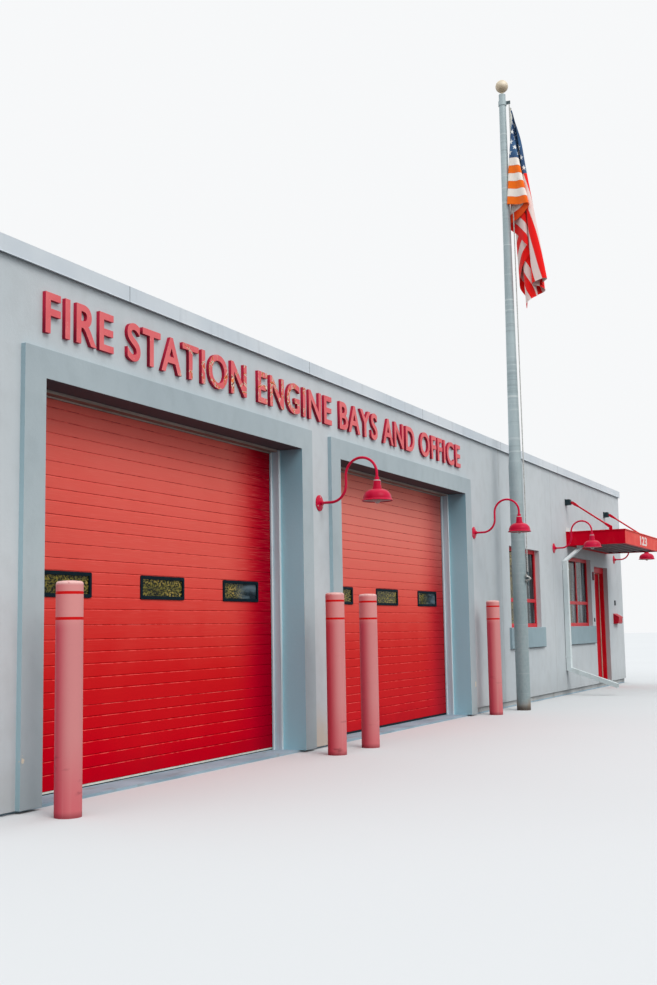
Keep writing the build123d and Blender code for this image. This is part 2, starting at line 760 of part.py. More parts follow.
def knuckle(low, high, radius):
    """An upright round piece on the hinge axis."""
    return corner_place(HINGE_X, HINGE_Y, (low + high) / 2) * Cylinder(radius, high - low)


def hinge_plate(start, end, low, high):
    """A flat hinge plate on the inner face of the leaf or jamb, from start to end past the axis."""
    spans = sorted((HINGE_X + start, HINGE_X + end))
    return block(spans, (LEAF_BACK_Y + FIT / 2, LEAF_BACK_Y + FIT / 2 + HINGE_PLATE_T), (low, high))


def frame_hinge_halves():
    """Plate, end knuckles and pin of each hinge, fixed to the jamb."""
    halves = []
    clear = KNUCKLE_R + 2
    for z in hinge_levels():
        low, high = z - HINGE_H / 2, z + HINGE_H / 2
        third = HINGE_H / 3
        half = hinge_plate(clear, clear + HINGE_PLATE_W, low, high) + knuckle(low, high, HINGE_PIN_R)
        for a, b in ((low, low + third), (high - third, high)):
            half += hinge_plate(0, clear, a, b) + knuckle(a, b, KNUCKLE_R)
        halves.append(half)
    return halves


def door_hinge_halves():
    """Plate and bored middle knuckle of each hinge, fixed to the leaf."""
    halves = []
    clear = KNUCKLE_R + 2
    for z in hinge_levels():
        low, high = z - HINGE_H / 2, z + HINGE_H / 2
        a, b = z - HINGE_H / 6 + KNUCKLE_GAP, z + HINGE_H / 6 - KNUCKLE_GAP
        half = hinge_plate(-clear, -clear - HINGE_PLATE_W, low, high)
        half += hinge_plate(0, -clear, a, b) + knuckle(a, b, KNUCKLE_R)
        halves.append(half - knuckle(a, b, HINGE_PIN_R + FIT))
    return halves


def canopy_frame():
    """Four steel channels around the canopy, toes inward, with lugs for the hanger rods."""
    left, right = CANOPY_X, CANOPY_X + CANOPY_W
    plan = rectangle((left, -CANOPY_OUT), (right, 0))
    web = plan - rectangle((left + CHANNEL_WEB_T, CHANNEL_WEB_T - CANOPY_OUT),
                           (right - CHANNEL_WEB_T, -CHANNEL_WEB_T))
    flange = plan - rectangle((left + CHANNEL_FLANGE_W, CHANNEL_FLANGE_W - CANOPY_OUT),
                              (right - CHANNEL_FLANGE_W, -CHANNEL_FLANGE_W))
    lip = rectangle((left - CANOPY_LIP, -CANOPY_OUT - CANOPY_LIP), (right + CANOPY_LIP, 0)) - plan
    frame = corner_place(0, 0, CANOPY_BOTTOM_Z) * extrude(web, CHANNEL_H)
    for z in (CANOPY_BOTTOM_Z, CANOPY_TOP_Z - CHANNEL_FLANGE_T):
        frame += corner_place(0, 0, z) * extrude(flange, CHANNEL_FLANGE_T)
    frame += corner_place(0, 0, CANOPY_TOP_Z - CANOPY_LIP_H) * extrude(lip, CANOPY_LIP_H)
    for x in hanger_places():
        frame += lug(x, HANGER_CANOPY_OUT, CANOPY_TOP_Z)
    return frame


def lug(x, out, foot_z):
    """An upright ear with a round head and a hole for a clevis pin."""
    height = LUG_HEIGHT
    face = outline([(-out - LUG_W / 2, foot_z), (-out + LUG_W / 2, foot_z),
                    (-out + LUG_W / 2, foot_z + height), (-out - LUG_W / 2, foot_z + height)])
    face += Pos(-out, foot_z + height) * Circle(LUG_W / 2)
    face -= Pos(-out, foot_z + height) * Circle(CLEVIS_PIN_R + LUG_CLEARANCE)
    return along(face, x - LUG_T / 2, x + LUG_T / 2)


def canopy_deck():
    """Ribbed steel deck across the canopy, its ribs parallel to the facade."""
    span = CANOPY_OUT - 2 * CHANNEL_WEB_T - 2 * FIT
    start = -CANOPY_OUT + CHANNEL_WEB_T + FIT
    count = int(span // DECK_RIB_PITCH)
    flat = (DECK_RIB_PITCH - DECK_RIB_TOP_W - 2 * DECK_RIB_SLOPE_W) / 2
    edge = (span - count * DECK_RIB_PITCH) / 2
    low, high = DECK_BOTTOM_Z, DECK_BOTTOM_Z + DECK_RIB_H
    under = [(start, low)]
    for rib in range(count):
        y = start + edge + rib * DECK_RIB_PITCH + flat
        under += [(y, low), (y + DECK_RIB_SLOPE_W, high),
                  (y + DECK_RIB_SLOPE_W + DECK_RIB_TOP_W, high),
                  (y + 2 * DECK_RIB_SLOPE_W + DECK_RIB_TOP_W, low)]
    under.append((start + span, low))
    over = [(y, z + DECK_T) for y, z in reversed(under)]
    inset = CHANNEL_WEB_T + FIT
    return along(outline(under + over), CANOPY_X + inset, CANOPY_X + CANOPY_W - inset)


def canopy_flashing():
    """The bent strip that closes the joint between the canopy and the wall."""
    low = CANOPY_TOP_Z
    section = outline([(0, low), (-FLASHING_TOE, low), (-FLASHING_TOE, low + FLASHING_T),
                       (-FLASHING_T, low + FLASHING_T), (-FLASHING_T, low + FLASHING_H),
                       (0, low + FLASHING_H)])
    return along(section, CANOPY_X - CANOPY_LIP, CANOPY_X + CANOPY_W + CANOPY_LIP)


def hanger_places():
    return (CANOPY_X + HANGER_INSET, CANOPY_X + CANOPY_W - HANGER_INSET)


def hanger_bracket(x):
    """A square cast bracket on its wall plate, with an ear for the rod's clevis."""
    z = HANGER_WALL_Z + BRACKET_RISE
    casting = corner_place(x, -BRACKET_OUT / 2, z) * Box(BRACKET_W, BRACKET_OUT, BRACKET_H)
    outer = casting.faces().sort_by(Axis.Y)[0]
    casting = chamfer(outer.edges(), BRACKET_BEVEL)
    plate_w = BRACKET_W + 2 * BRACKET_PLATE_LAP
    plate_h = BRACKET_H + 2 * BRACKET_PLATE_LAP
    casting += corner_place(x, -BRACKET_PLATE_T / 2, z) * Box(plate_w, BRACKET_PLATE_T, plate_h)
    half = CLEVIS_EAR_W / 2
    pin = Pos(-HANGER_WALL_OUT, HANGER_WALL_Z)
    ear = rectangle((-HANGER_WALL_OUT, HANGER_WALL_Z - half), (-BRACKET_OUT / 2, HANGER_WALL_Z + half))
    ear += pin * Circle(half)
    ear -= pin * Circle(CLEVIS_PIN_R + LUG_CLEARANCE)
    return casting + along(ear, x - LUG_T / 2, x + LUG_T / 2)


def clevis():
    """A fork with its pin at the origin and its shank along +x; the pin lies along y."""
    half = CLEVIS_EAR_W / 2
    slot_half = LUG_T / 2 + LUG_CLEARANCE
    outer = slot_half + CLEVIS_EAR_T
    ear = rectangle((0, -half), (CLEVIS_FORK_LENGTH, half)) + Circle(half)
    fork = extrude(Plane.XZ * ear, outer, both=True)
    slot_end = LUG_W / 2 + CLEVIS_SLOT_CLEARANCE
    fork -= Pos(slot_end - LUG_W, 0, 0) * Box(2 * LUG_W, 2 * slot_half, 2 * LUG_W)
    shank = Plane.YZ.offset(slot_end + CLEVIS_BRIDGE_T) * Circle(half)
    tip = Plane.YZ.offset(CLEVIS_REACH + CLEVIS_SOCKET_DEPTH) * Circle(HANGER_ROD_R + CLEVIS_SOCKET_WALL)
    fork += loft([shank, tip])
    pin = Rot(90, 0, 0) * Cylinder(CLEVIS_PIN_R, 2 * outer)
    head = Rot(90, 0, 0) * Cylinder(CLEVIS_PIN_HEAD_R, CLEVIS_PIN_HEAD_T)
    heads = [Pos(0, side * (outer + CLEVIS_PIN_HEAD_T / 2), 0) * head for side in (-1, 1)]
    return fork + pin + heads


def hanger_rod(x):
    """A round rod from the wall bracket down to the canopy, with a clevis at each end."""
    low_z = CANOPY_TOP_Z + LUG_HEIGHT
    run = HANGER_CANOPY_OUT - HANGER_WALL_OUT
    drop = HANGER_WALL_Z - low_z
    length = math.hypot(run, drop)
    slope = math.degrees(math.atan2(drop, run))
    rod = Pos(length / 2, 0, 0) * Rot(0, 90, 0) * Cylinder(HANGER_ROD_R, length - 2 * CLEVIS_REACH)
    hanger = clevis() + rod + Pos(length, 0, 0) * Rot(0, 0, 180) * clevis()
    return corner_place(x, -HANGER_WALL_OUT, HANGER_WALL_Z) * Rot(0, 0, -90) * Rot(0, slope, 0) * hanger


def lamp_arm(x):
    """Wall plate and bent tube of one gooseneck lamp, ending in the socket above the shade."""
    z = LAMP_Z
    plate_edge = outline([(0, 0), (LAMP_PLATE_R, 0), (LAMP_PLATE_R, LAMP_PLATE_RIM_T),
                          (LAMP_PLATE_CROWN_R, LAMP_PLATE_T), (LAMP_BOSS_R, LAMP_BOSS_FOOT),
                          (LAMP_BOSS_R, LAMP_BOSS_OUT), (0, LAMP_BOSS_OUT)])
    plate = Pos(0, 0, z) * Rot(90, 0, 0) * revolve(Plane.XZ * plate_edge, Axis.Z)
    out = -LAMP_FIRST_RUN
    turn = out - LAMP_FIRST_R
    rise_z = z + LAMP_FIRST_R
    top_z = rise_z + LAMP_RISE
    far = turn - 2 * LAMP_CROOK_R
    elbow = (out - LAMP_FIRST_R * math.sin(math.pi / 4), rise_z - LAMP_FIRST_R * math.cos(math.pi / 4))
    path = Wire([
        Line((0, -LAMP_PLATE_T, z), (0, out, z)),
        ThreePointArc((0, out, z), (0, *elbow), (0, turn, rise_z)),
        Line((0, turn, rise_z), (0, turn, top_z)),
        ThreePointArc((0, turn, top_z), (0, turn - LAMP_CROOK_R, top_z + LAMP_CROOK_R), (0, far, top_z)),
        Line((0, far, top_z), (0, far, LAMP_NECK_TOP_Z)),
    ])
    tube = sweep(Plane(origin=(0, -LAMP_PLATE_T, z), z_dir=(0, -1, 0)) * Circle(LAMP_TUBE_R), path=path)
    collar = Pos(0, far, LAMP_NECK_TOP_Z + LAMP_COLLAR_H / 2) * Cylinder(LAMP_COLLAR_R, LAMP_COLLAR_H)
    return corner_place(x, 0) * (plate + tube + collar)


def lamp_profile(inset):
    """The line of a lamp shade, from its lip up over the bell and shoulder to its neck, moved in by inset."""
    rim = (LAMP_RIM_R - inset, LAMP_RIM_Z)
    side = (LAMP_BELL_R - inset, LAMP_RIM_Z + LAMP_LIP_H)
    shoulder = (LAMP_SHOULDER_R - inset, LAMP_SHOULDER_Z - inset)
    share = math.cos(math.pi / 4)
    middle = (side[0] - (side[0] - shoulder[0]) * (1 - share), side[1] + (shoulder[1] - side[1]) * share)
    lines = [Line(rim, side), ThreePointArc(side, middle, shoulder)]
    steps = [shoulder, (LAMP_SHOULDER_R - inset, LAMP_NECK_FOOT_Z - inset),
             (LAMP_NECK_FOOT_R - inset, LAMP_NECK_FOOT_Z - inset),
             (LAMP_NECK_TOP_R - inset, LAMP_NECK_TOP_Z - inset), (0, LAMP_NECK_TOP_Z - inset)]
    return rim, lines + [Line(start, end) for start, end in zip(steps, steps[1:])]


def lamp_shade(x):
    """A spun dome shade, open below, with a flared lip, a rolled rim and a shouldered neck."""
    rim, outside = lamp_profile(0)
    rim_in, inside = lamp_profile(LAMP_SHELL_T)
    closing = [Line((0, LAMP_NECK_TOP_Z), (0, LAMP_NECK_TOP_Z - LAMP_SHELL_T)), Line(rim_in, rim)]
    shell = revolve(Plane.XZ * make_face([*outside, *inside, *closing]), Axis.Z)
    bead = Plane.XZ * Pos(LAMP_RIM_R - LAMP_SHELL_T / 2, LAMP_RIM_Z) * Circle(LAMP_BEAD_R)
    return corner_place(x, LAMP_DROP_Y) * (shell + revolve(bead, Axis.Z))


def lamp_bulb(x):
    """A globe bulb that shows under the shade's rim, with its neck up to the top of the shade."""
    neck_top = LAMP_NECK_TOP_Z - LAMP_SHELL_T - FIT
    foot_z = LAMP_RIM_Z - BULB_BELOW_RIM
    centre_z = foot_z + BULB_R
    joint_z = centre_z + math.sqrt(BULB_R ** 2 - BULB_NECK_R ** 2)
    side = (BULB_R * math.cos(math.pi / 6), centre_z - BULB_R * math.sin(math.pi / 6))
    edges = [ThreePointArc((0, foot_z), side, (BULB_NECK_R, joint_z)),
             Line((BULB_NECK_R, joint_z), (BULB_NECK_R, neck_top)),
             Line((BULB_NECK_R, neck_top), (0, neck_top)), Line((0, neck_top), (0, foot_z))]
    return corner_place(x, LAMP_DROP_Y) * revolve(Plane.XZ * make_face(edges), Axis.Z)


def level_section(x, y, z, inset=0):
    """A level cross-section of the rainwater pipe."""
    return corner_place(x, y, z) * Rectangle(PIPE_W - 2 * inset, PIPE_D - 2 * inset)


def upright_section(y, z, inset=0):
    """An upright cross-section of the pipe's foot, which leads away from the wall."""
    return front_plane(y) * Pos(PIPE_X, z) * Rectangle(PIPE_W - 2 * inset, PIPE_D - 2 * inset)


def downspout():
    """Pipe from the canopy's rear corner, offset back to the wall, down it and out at its foot."""
    pipe_y = -PIPE_STANDOFF - PIPE_D / 2
    bend_top = DECK_BOTTOM_Z - PIPE_OUTLET_DROP
    outlet = (CANOPY_X + PIPE_OUTLET_INSET, -PIPE_OUTLET_OUT)
    pipe = loft([level_section(*outlet, bend_top), level_section(*outlet, DECK_BOTTOM_Z)])
    pipe += loft([level_section(PIPE_X, pipe_y, PIPE_BEND_Z), level_section(*outlet, bend_top)])
    low = PIPE_FOOT_Z - PIPE_D / 2
    pipe += block((PIPE_X - PIPE_W / 2, PIPE_X + PIPE_W / 2), (-PIPE_STANDOFF - PIPE_D, -PIPE_STANDOFF),
                  (low, PIPE_BEND_Z))
    pipe += loft([upright_section(-PIPE_STANDOFF, PIPE_FOOT_Z),
                  upright_section(-PIPE_TOE_OUT, PIPE_TOE_Z)])
    share = PIPE_OPEN_LENGTH / (PIPE_TOE_OUT - PIPE_STANDOFF)
    inner_z = PIPE_TOE_Z + (PIPE_FOOT_Z - PIPE_TOE_Z) * share
    pipe -= loft([upright_section(PIPE_OPEN_LENGTH - PIPE_TOE_OUT, inner_z, PIPE_WALL_T),
                  upright_section(-PIPE_TOE_OUT, PIPE_TOE_Z, PIPE_WALL_T)])
    for z in (PIPE_BEND_Z - STRAP_BELOW_BEND, PIPE_FOOT_Z + STRAP_ABOVE_FOOT):
        half = PIPE_W / 2 + STRAP_T
        pipe += block((PIPE_X - half, PIPE_X + half), (-PIPE_STANDOFF - PIPE_D - STRAP_T, 0),
                      (z - STRAP_H / 2, z + STRAP_H / 2))
    return pipe


def mailbox():
    """A wall mailbox with a grooved front and a sloped lid that laps its front and sides."""
    back_top = MAILBOX_Z + MAILBOX_BACK_H
    front_top = MAILBOX_Z + MAILBOX_FRONT_H
    lap = MAILBOX_LID_LAP
    front = [(-MAILBOX_D, MAILBOX_Z + MAILBOX_FOOT_RISE)]
    for groove in range(MAILBOX_GROOVE_COUNT):
        low = MAILBOX_Z + MAILBOX_FOOT_RISE + MAILBOX_GROOVE_PITCH * (groove + 0.5)
        front += [(-MAILBOX_D, low), (-MAILBOX_D + MAILBOX_GROOVE_DEPTH, low),
                  (-MAILBOX_D, low + MAILBOX_GROOVE_H)]
    front.append((-MAILBOX_D, front_top))
    body = outline([(0, MAILBOX_Z), (-MAILBOX_FOOT_D, MAILBOX_Z), *front, (0, back_top)])
    skirt = front_top - MAILBOX_LID_SKIRT
    lid_front = -MAILBOX_D - lap
    lid = outline([(0, back_top), (0, back_top + MAILBOX_LID_T), (lid_front, front_top + MAILBOX_LID_T),
                   (lid_front, skirt), (-MAILBOX_D, skirt), (-MAILBOX_D, front_top)])
    half = MAILBOX_W / 2
    box = along(body, MAILBOX_X - half, MAILBOX_X + half)
    return box + along(lid, MAILBOX_X - half - lap, MAILBOX_X + half + lap)


def wall_box(x, z, size):
    """A small closed box on the wall with a bevelled front."""
    width, depth, height = size
    body = block((x - width / 2, x + width / 2), (-depth, 0), (z - height / 2, z + height / 2))
    return chamfer(body.faces().sort_by(Axis.Y)[0].edges(), FITTING_BEVEL)


def bollard_places():
    """Where the bollards stand, beside the left and right edge of each bay's opening."""
    edges = [(x + side * BAY_OPENING_W / 2, side) for x in BAY_CENTRES for side in (-1, 1)]
    return [(edge + side * past, -away) for (edge, side), (past, away) in zip(edges, BOLLARD_OFFSETS)]


def bollard(place):
    """A plastic-sleeved bollard with a round corner under its slightly crowned top."""
    corner = BOLLARD_CORNER_R
    flat_r = BOLLARD_R - corner
    flat_z = BOLLARD_H - BOLLARD_CROWN_H
    eighth = math.pi / 4
    shoulder = (BOLLARD_R, flat_z - corner)
    bend = (flat_r + corner * math.cos(eighth), flat_z - corner * (1 - math.sin(eighth)))
    crown_r = (flat_r ** 2 + BOLLARD_CROWN_H ** 2) / (2 * BOLLARD_CROWN_H)
    half_turn = math.asin(flat_r / crown_r) / 2
    crown = (crown_r * math.sin(half_turn), BOLLARD_H - crown_r * (1 - math.cos(half_turn)))
    edges = [Line((0, 0), (BOLLARD_R, 0)), Line((BOLLARD_R, 0), shoulder),
             ThreePointArc(shoulder, bend, (flat_r, flat_z)),
             ThreePointArc((flat_r, flat_z), crown, (0, BOLLARD_H)), Line((0, BOLLARD_H), (0, 0))]
    return corner_place(*place) * revolve(Plane.XZ * make_face(edges), Axis.Z)


def flagpole():
    """A pole tapered above its sleeve, with a pulley ring near its top and a cleat on its street side."""
    sleeve_top = (POLE_BASE_R, POLE_STRAIGHT_H)
    shaft_foot = (POLE_SHAFT_R, POLE_STRAIGHT_H + POLE_SHOULDER_H)
    taper = ThreePointArc(shaft_foot, (POLE_MIDDLE_R, POLE_MIDDLE_Z), (POLE_TOP_R, POLE_H))
    edges = [Line((0, 0), (POLE_BASE_R, 0)), Line((POLE_BASE_R, 0), sleeve_top), Line(sleeve_top, shaft_foot),
             taper, Line((POLE_TOP_R, POLE_H), (0, POLE_H)), Line((0, POLE_H), (0, 0))]
    pole = revolve(Plane.XZ * make_face(edges), Axis.Z)
    pole += Pos(0, 0, TRUCK_Z) * Cylinder(TRUCK_R, TRUCK_H)
    pulley_reach = HALYARD_TOP_OUT + PULLEY_PAST_ROPE
    pole += Pos(0, -pulley_reach / 2, TRUCK_Z) * Box(PULLEY_W, pulley_reach, PULLEY_H)
    post = Pos(0, -CLEAT_OUT / 2, CLEAT_Z) * Rot(90, 0, 0) * Cylinder(CLEAT_POST_R, CLEAT_OUT)
    horns = Pos(0, -CLEAT_OUT, CLEAT_Z) * Cylinder(CLEAT_HORN_R, CLEAT_H)
    return corner_place(POLE_X, POLE_Y) * (pole + post + horns)


def flagpole_ball():
    """The ball on the pole's top, on a short stem."""
    centre_z = POLE_H + POLE_STEM_H + POLE_BALL_R
    stem = Pos(0, 0, POLE_H + (POLE_STEM_H + POLE_BALL_R) / 2) * Cylinder(POLE_STEM_R,
                                                                        POLE_STEM_H + POLE_BALL_R)
    return corner_place(POLE_X, POLE_Y) * (stem + Pos(0, 0, centre_z) * Sphere(POLE_BALL_R))


def rope_ends(side):
    """The top and foot of one fall of rope, between the pulley and the cleat."""
    x = side * HALYARD_GAP / 2
    return (Vector(x, -HALYARD_TOP_OUT, TRUCK_Z - PULLEY_H / 2 - 2 * FIT),
            Vector(x, -CLEAT_OUT, CLEAT_Z + CLEAT_H / 2 + 2 * FIT))


def halyard(side):
    """One of the two taut falls of rope."""
    top, foot = rope_ends(side)
    span = foot - top
    rope = extrude(Plane(origin=top, z_dir=span) * Circle(HALYARD_R), span.length)
    return corner_place(POLE_X, POLE_Y) * rope


def flag():
    """The flag's hanging shape, its hoist along the halyard and its folds below."""
    top, foot = rope_ends(1)
    lean = (top.Y - foot.Y) / (foot.Z - top.Z)
    face = make_face(Polyline(*[(out + lean * z, z) for out, z in FLAG_OUTLINE], close=True))
    hoist_top = (0, 0, TRUCK_Z - FLAG_BELOW_TRUCK)
    plane = Plane(origin=hoist_top, x_dir=(1, 0, 0), z_dir=(0, -1, 0))
    hanging = extrude(plane * face, FLAG_T / 2, both=True)
    turn = math.radians(FLAG_TURN)
    rope_reach = top.X * math.cos(turn) + top.Y * math.sin(turn) + HALYARD_R
    return corner_place(POLE_X, POLE_Y) * Rot(0, 0, FLAG_TURN) * Pos(rope_reach + FIT, 0, 0) * hanging


def save_shell():
    save("floor_slab", floor_slab())
    save("front_foundation", front_foundation())
    save("right_foundation", right_foundation())
    left, centre = bay_piers()
    save("front_left_pier", left)
    save("front_centre_pier", centre)
    save("wall_over_bays", *wall_over_bays())
    save("office_wall", office_wall())
    save("wall_over_entry", wall_over_entry())
    save("front_right_pier", front_right_pier())
    save("left_wall", left_wall())
    save("right_wall", right_wall())
    save("back_wall", back_wall())
    save("roof_deck", roof_deck())
    for side, run in zip(("front", "right", "back", "left"), coping_runs()):
        save(f"coping_{side}", run)


def save_bays():
    centres = BAY_CENTRES
    for number, x in enumerate(centres, start=1):
        save(f"bay_surround_{number}", bay_surround(x))
        save(f"bay_door_{number}", *bay_door(x))
    windows = [window for x in centres for window in bay_window_centres(x)]
    save("bay_jamb_trims", *[trim for x in centres for trim in bay_jamb_trims(x)])
    save("bay_head_trims", *[bay_head_trim(x) for x in centres])
    save("bay_window_frames", *[bay_gasket(x) for x in windows])
    save("bay_window_glass", *[bay_pane(x) for x in windows])
    save("bay_bottom_seals", *[bay_seal(x) for x in centres])


def save_windows():
    frames = [window_frame(x) for x in WINDOW_PLACES]
    panes = [pane for x in WINDOW_PLACES for pane in window_panes(x)]
    panels = [sill_panel(x) for x in WINDOW_PLACES]
    rods = [curtain_rod(x) for x in WINDOW_PLACES]
    curtains = [curtain(x, side) for x in WINDOW_PLACES for side in (-1, 1)]
    save("front_window_frames", *frames)
    save("back_window_frames", *[on_yard_side(frame) for frame in frames])
    save("window_glass", *panes, *[on_yard_side(pane) for pane in panes])
    save("sill_panels", *panels, *[on_yard_side(panel) for panel in panels])
    save("curtain_rods", *rods)
    save("curtains", *curtains)


def save_entry():
    save("entry_sill", entry_sill())
    save("entry_frame", entry_frame())
    save("entry_weatherstrip", entry_weatherstrip())
    save("entry_door_leaf", entry_door_leaf())
    save("entry_door_lever", *entry_door_lever())
    save("frame_hinge_halves", *frame_hinge_halves())
    save("door_hinge_halves", *door_hinge_halves())
    save("mailbox", mailbox())
    save("alarm_box", wall_box(ENTRY_LEFT - ALARM_BEFORE_ENTRY, ALARM_Z, ALARM_SIZE))
    save("doorbell", wall_box(ENTRY_LEFT - DOORBELL_BEFORE_ENTRY, DOORBELL_Z, DOORBELL_SIZE))
    save("entry_keypad", wall_box(MAILBOX_X, KEYPAD_Z, KEYPAD_SIZE))


def save_canopy():
    save("canopy_frame", canopy_frame())
    save("canopy_deck", canopy_deck())
    save("canopy_flashing", canopy_flashing())
    save("hanger_brackets", *[hanger_bracket(x) for x in hanger_places()])
    save("hanger_rods", *[hanger_rod(x) for x in hanger_places()])
    save("downspout", downspout())


def save_fixtures():
    save("lamp_arms", *[lamp_arm(x) for x in LAMP_PLACES])
    save("lamp_shades", *[lamp_shade(x) for x in LAMP_PLACES])
    save("lamp_bulbs", *[lamp_bulb(x) for x in LAMP_PLACES])
    save("bollards", *[bollard(place) for place in bollard_places()])
    save("flagpole", flagpole())
    save("flagpole_ball", flagpole_ball())
    save("halyard", halyard(-1), halyard(1))
    save("flag", flag())


os.makedirs("parts", exist_ok=True)
save_shell()
save_bays()
save_windows()
save_entry()
save_canopy()
save_fixtures()
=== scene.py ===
"""The looks of a two-bay fire station: finishes, letters, cloth, small fittings, light and camera."""

import math

import bmesh
import bpy
from mathutils import Matrix, Vector


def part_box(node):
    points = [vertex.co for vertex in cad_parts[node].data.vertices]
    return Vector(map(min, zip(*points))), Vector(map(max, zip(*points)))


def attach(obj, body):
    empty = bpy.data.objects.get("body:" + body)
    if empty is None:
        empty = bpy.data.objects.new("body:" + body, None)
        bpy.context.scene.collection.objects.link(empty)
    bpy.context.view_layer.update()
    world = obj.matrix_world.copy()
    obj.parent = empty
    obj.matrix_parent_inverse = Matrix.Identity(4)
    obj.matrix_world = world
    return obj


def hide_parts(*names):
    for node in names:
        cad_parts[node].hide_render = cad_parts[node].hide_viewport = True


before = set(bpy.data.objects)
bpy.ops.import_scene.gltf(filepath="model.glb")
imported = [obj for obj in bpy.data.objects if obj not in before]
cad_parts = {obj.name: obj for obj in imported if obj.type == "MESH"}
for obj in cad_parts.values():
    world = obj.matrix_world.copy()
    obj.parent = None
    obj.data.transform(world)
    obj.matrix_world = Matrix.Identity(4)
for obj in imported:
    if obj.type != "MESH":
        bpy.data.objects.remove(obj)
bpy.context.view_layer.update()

# Camera, in metres and degrees in the shared frame
CAMERA_PLACE = (-14.715, -11.517, 1.176)
CAMERA_HEADING = 26.540
CAMERA_PITCH = 6.632
CAMERA_ROLL = -0.986
FOCAL_PIXELS = 1174.2
IMAGE_SIZE = (657, 985)
SENSOR_MM = 36.0

# Light, and the floor that shows pale but throws back little of it
SKY_LIGHT, SKY_TINT = 1.08, (0.93, 0.97, 1.0, 1)
SKY_SEEN = (0.93, 0.94, 0.95, 1)
SUN_LIGHT, SUN_TINT = 1.25, (1.0, 0.97, 0.93)
SUN_TOWARDS, SUN_SPREAD = (0.35, 0.8, -0.9), math.radians(35)
FLOOR_HALF, FLOOR_BOUNCE = 140.0, 108

# Places read from the frame
LEFT_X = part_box("front_left_pier")[0].x
FACADE_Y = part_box("office_wall")[0].y

# Sign letters
SIGN_WORDS = "FIRE STATION ENGINE BAYS AND OFFICE"
SIGN_LEFT, SIGN_RIGHT = LEFT_X + 1.11, LEFT_X + 9.52
SIGN_FOOT_Z = 3.29
SIGN_H = 0.305
SIGN_DEPTH = 0.030
SIGN_WEIGHT = 0.019
SIGN_SPACING = 1.12

# Wall finishes
JOINT_HALF = 0.004
WALL_JOINTS = (4.435, 1.735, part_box("wall_over_entry")[1].x)
BAY_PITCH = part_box("bay_surround_2")[0].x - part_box("bay_surround_1")[0].x
DOOR_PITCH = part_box("bay_door_2")[0].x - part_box("bay_door_1")[0].x
SECOND_DOOR_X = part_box("bay_door_2")[0].x
CHIPS = ((-8.32, 1.93, 0.03), (-8.55, 0.34, 0.014), (0.36, 0.42, 0.02))
ROOF_LAP = 1.0
COPING_SHEET = 3.05
COPING_SEAM_X, COPING_SEAM_Y = -7.365, -4.6
OFFICE_WINDOW_PITCH = 3.29
CRACKED_FROM, CRACKED_TO = -6.6, -4.5

# Bollards: bands of tape, and where the cap begins and ends
BOLLARD_RINGS = (1.274, 1.442)
RING_HALF, RING_EDGE = 0.009, 0.001
BOLLARD_CAP = (1.488, 1.512)

# Small fittings
LAMP_X = (-4.085, 0.580, 4.535, 8.850)
LAMP_Z = 2.455
SCREW_CIRCLE, SCREW_FACE_Y = 0.062, FACADE_Y - 0.0137
SCREW_R, SCREW_H = 0.008, 0.005
SCREW_TURNS = (90, 210, 330)
SLOT_HALF, SLOT_FLOOR = 0.18, 0.55
ROPE_R = 0.004
CLEAT_OUT, CLEAT_Z, CLEAT_BAR_R = 0.126, 1.84, 0.011
HITCH_TURNS, HITCH_POINTS = 4, 16
HITCH_REACH = 0.066
SNAP_R, SNAP_WIRE_R, SNAP_POINTS = 0.017, 0.0035, 10
SNAP_SHARES = (0.02, 0.34, 0.66, 0.98)

# Number on the canopy
NUMBER = "123"
NUMBER_LEFT, NUMBER_RIGHT = 6.52, 7.10
NUMBER_FOOT_Z, NUMBER_H = 2.575, 0.16
NUMBER_DEPTH = 0.003

CANOPY_LIP = 0.012
CANOPY_DARK_BAND = (0.018, 0.014)

# Curtains: two panels at each office window, gathered on a rod
CURTAIN_EDGE = 0.006
CURTAIN_W, CURTAIN_SIDE_GAP = 0.52, 0.025
CURTAIN_FOLDS, CURTAIN_FOLD_HALF = 6, 0.018
CURTAIN_STRIPE = 0.13
CURTAIN_COLUMNS, CURTAIN_ROWS = 84, 16
OFFICE_WINDOW_W = 1.55
CURTAIN_FLAT_W = 0.78
CURTAIN_LOW, CURTAIN_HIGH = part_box("curtains")
CURTAIN_H = CURTAIN_HIGH.z - CURTAIN_LOW.z
THREADS = 2 * math.pi * 500

# Flag, five feet by eight, and its fall
STRIPES = 13
CANTON_FLY, CANTON_HOIST = 0.4, 7 / STRIPES
STAR_R = 0.577
CUT_MAP = "cut"
FLAG_HOIST, FLAG_FLY = 1.524, 2.438
FLAG_COLUMNS, FLAG_ROWS = 64, 40
FLAG_RIPPLE = 0.3
FLAG_WAVES = 2.5
FLAG_SKEW = -2.0
FLAG_FRAMES = 90
FLAG_HEADING = math.radians(-73)
FLAG_OUT = Vector((math.cos(FLAG_HEADING), math.sin(FLAG_HEADING), 0))
FLAG_SIDE = Vector((-math.sin(FLAG_HEADING), math.cos(FLAG_HEADING), 0))
POLE_AXIS = sum(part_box("flagpole_ball"), Vector()) / 2
FLAG_REACH = 0.1076
FLAG_TOP = Vector((POLE_AXIS.x, POLE_AXIS.y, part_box("flag")[1].z)) + FLAG_OUT * FLAG_REACH
FLAG_PULL = FLAG_OUT * 0.9 + Vector((0, 0, -9.81))


def linear(value):
    """One channel of a screen colour, 0 to 255, as linear light."""
    share = value / 255
    return share / 12.92 if share <= 0.04045 else ((share + 0.055) / 1.055) ** 2.4


def colour(red, green, blue):
    return (linear(red), linear(green), linear(blue), 1.0)


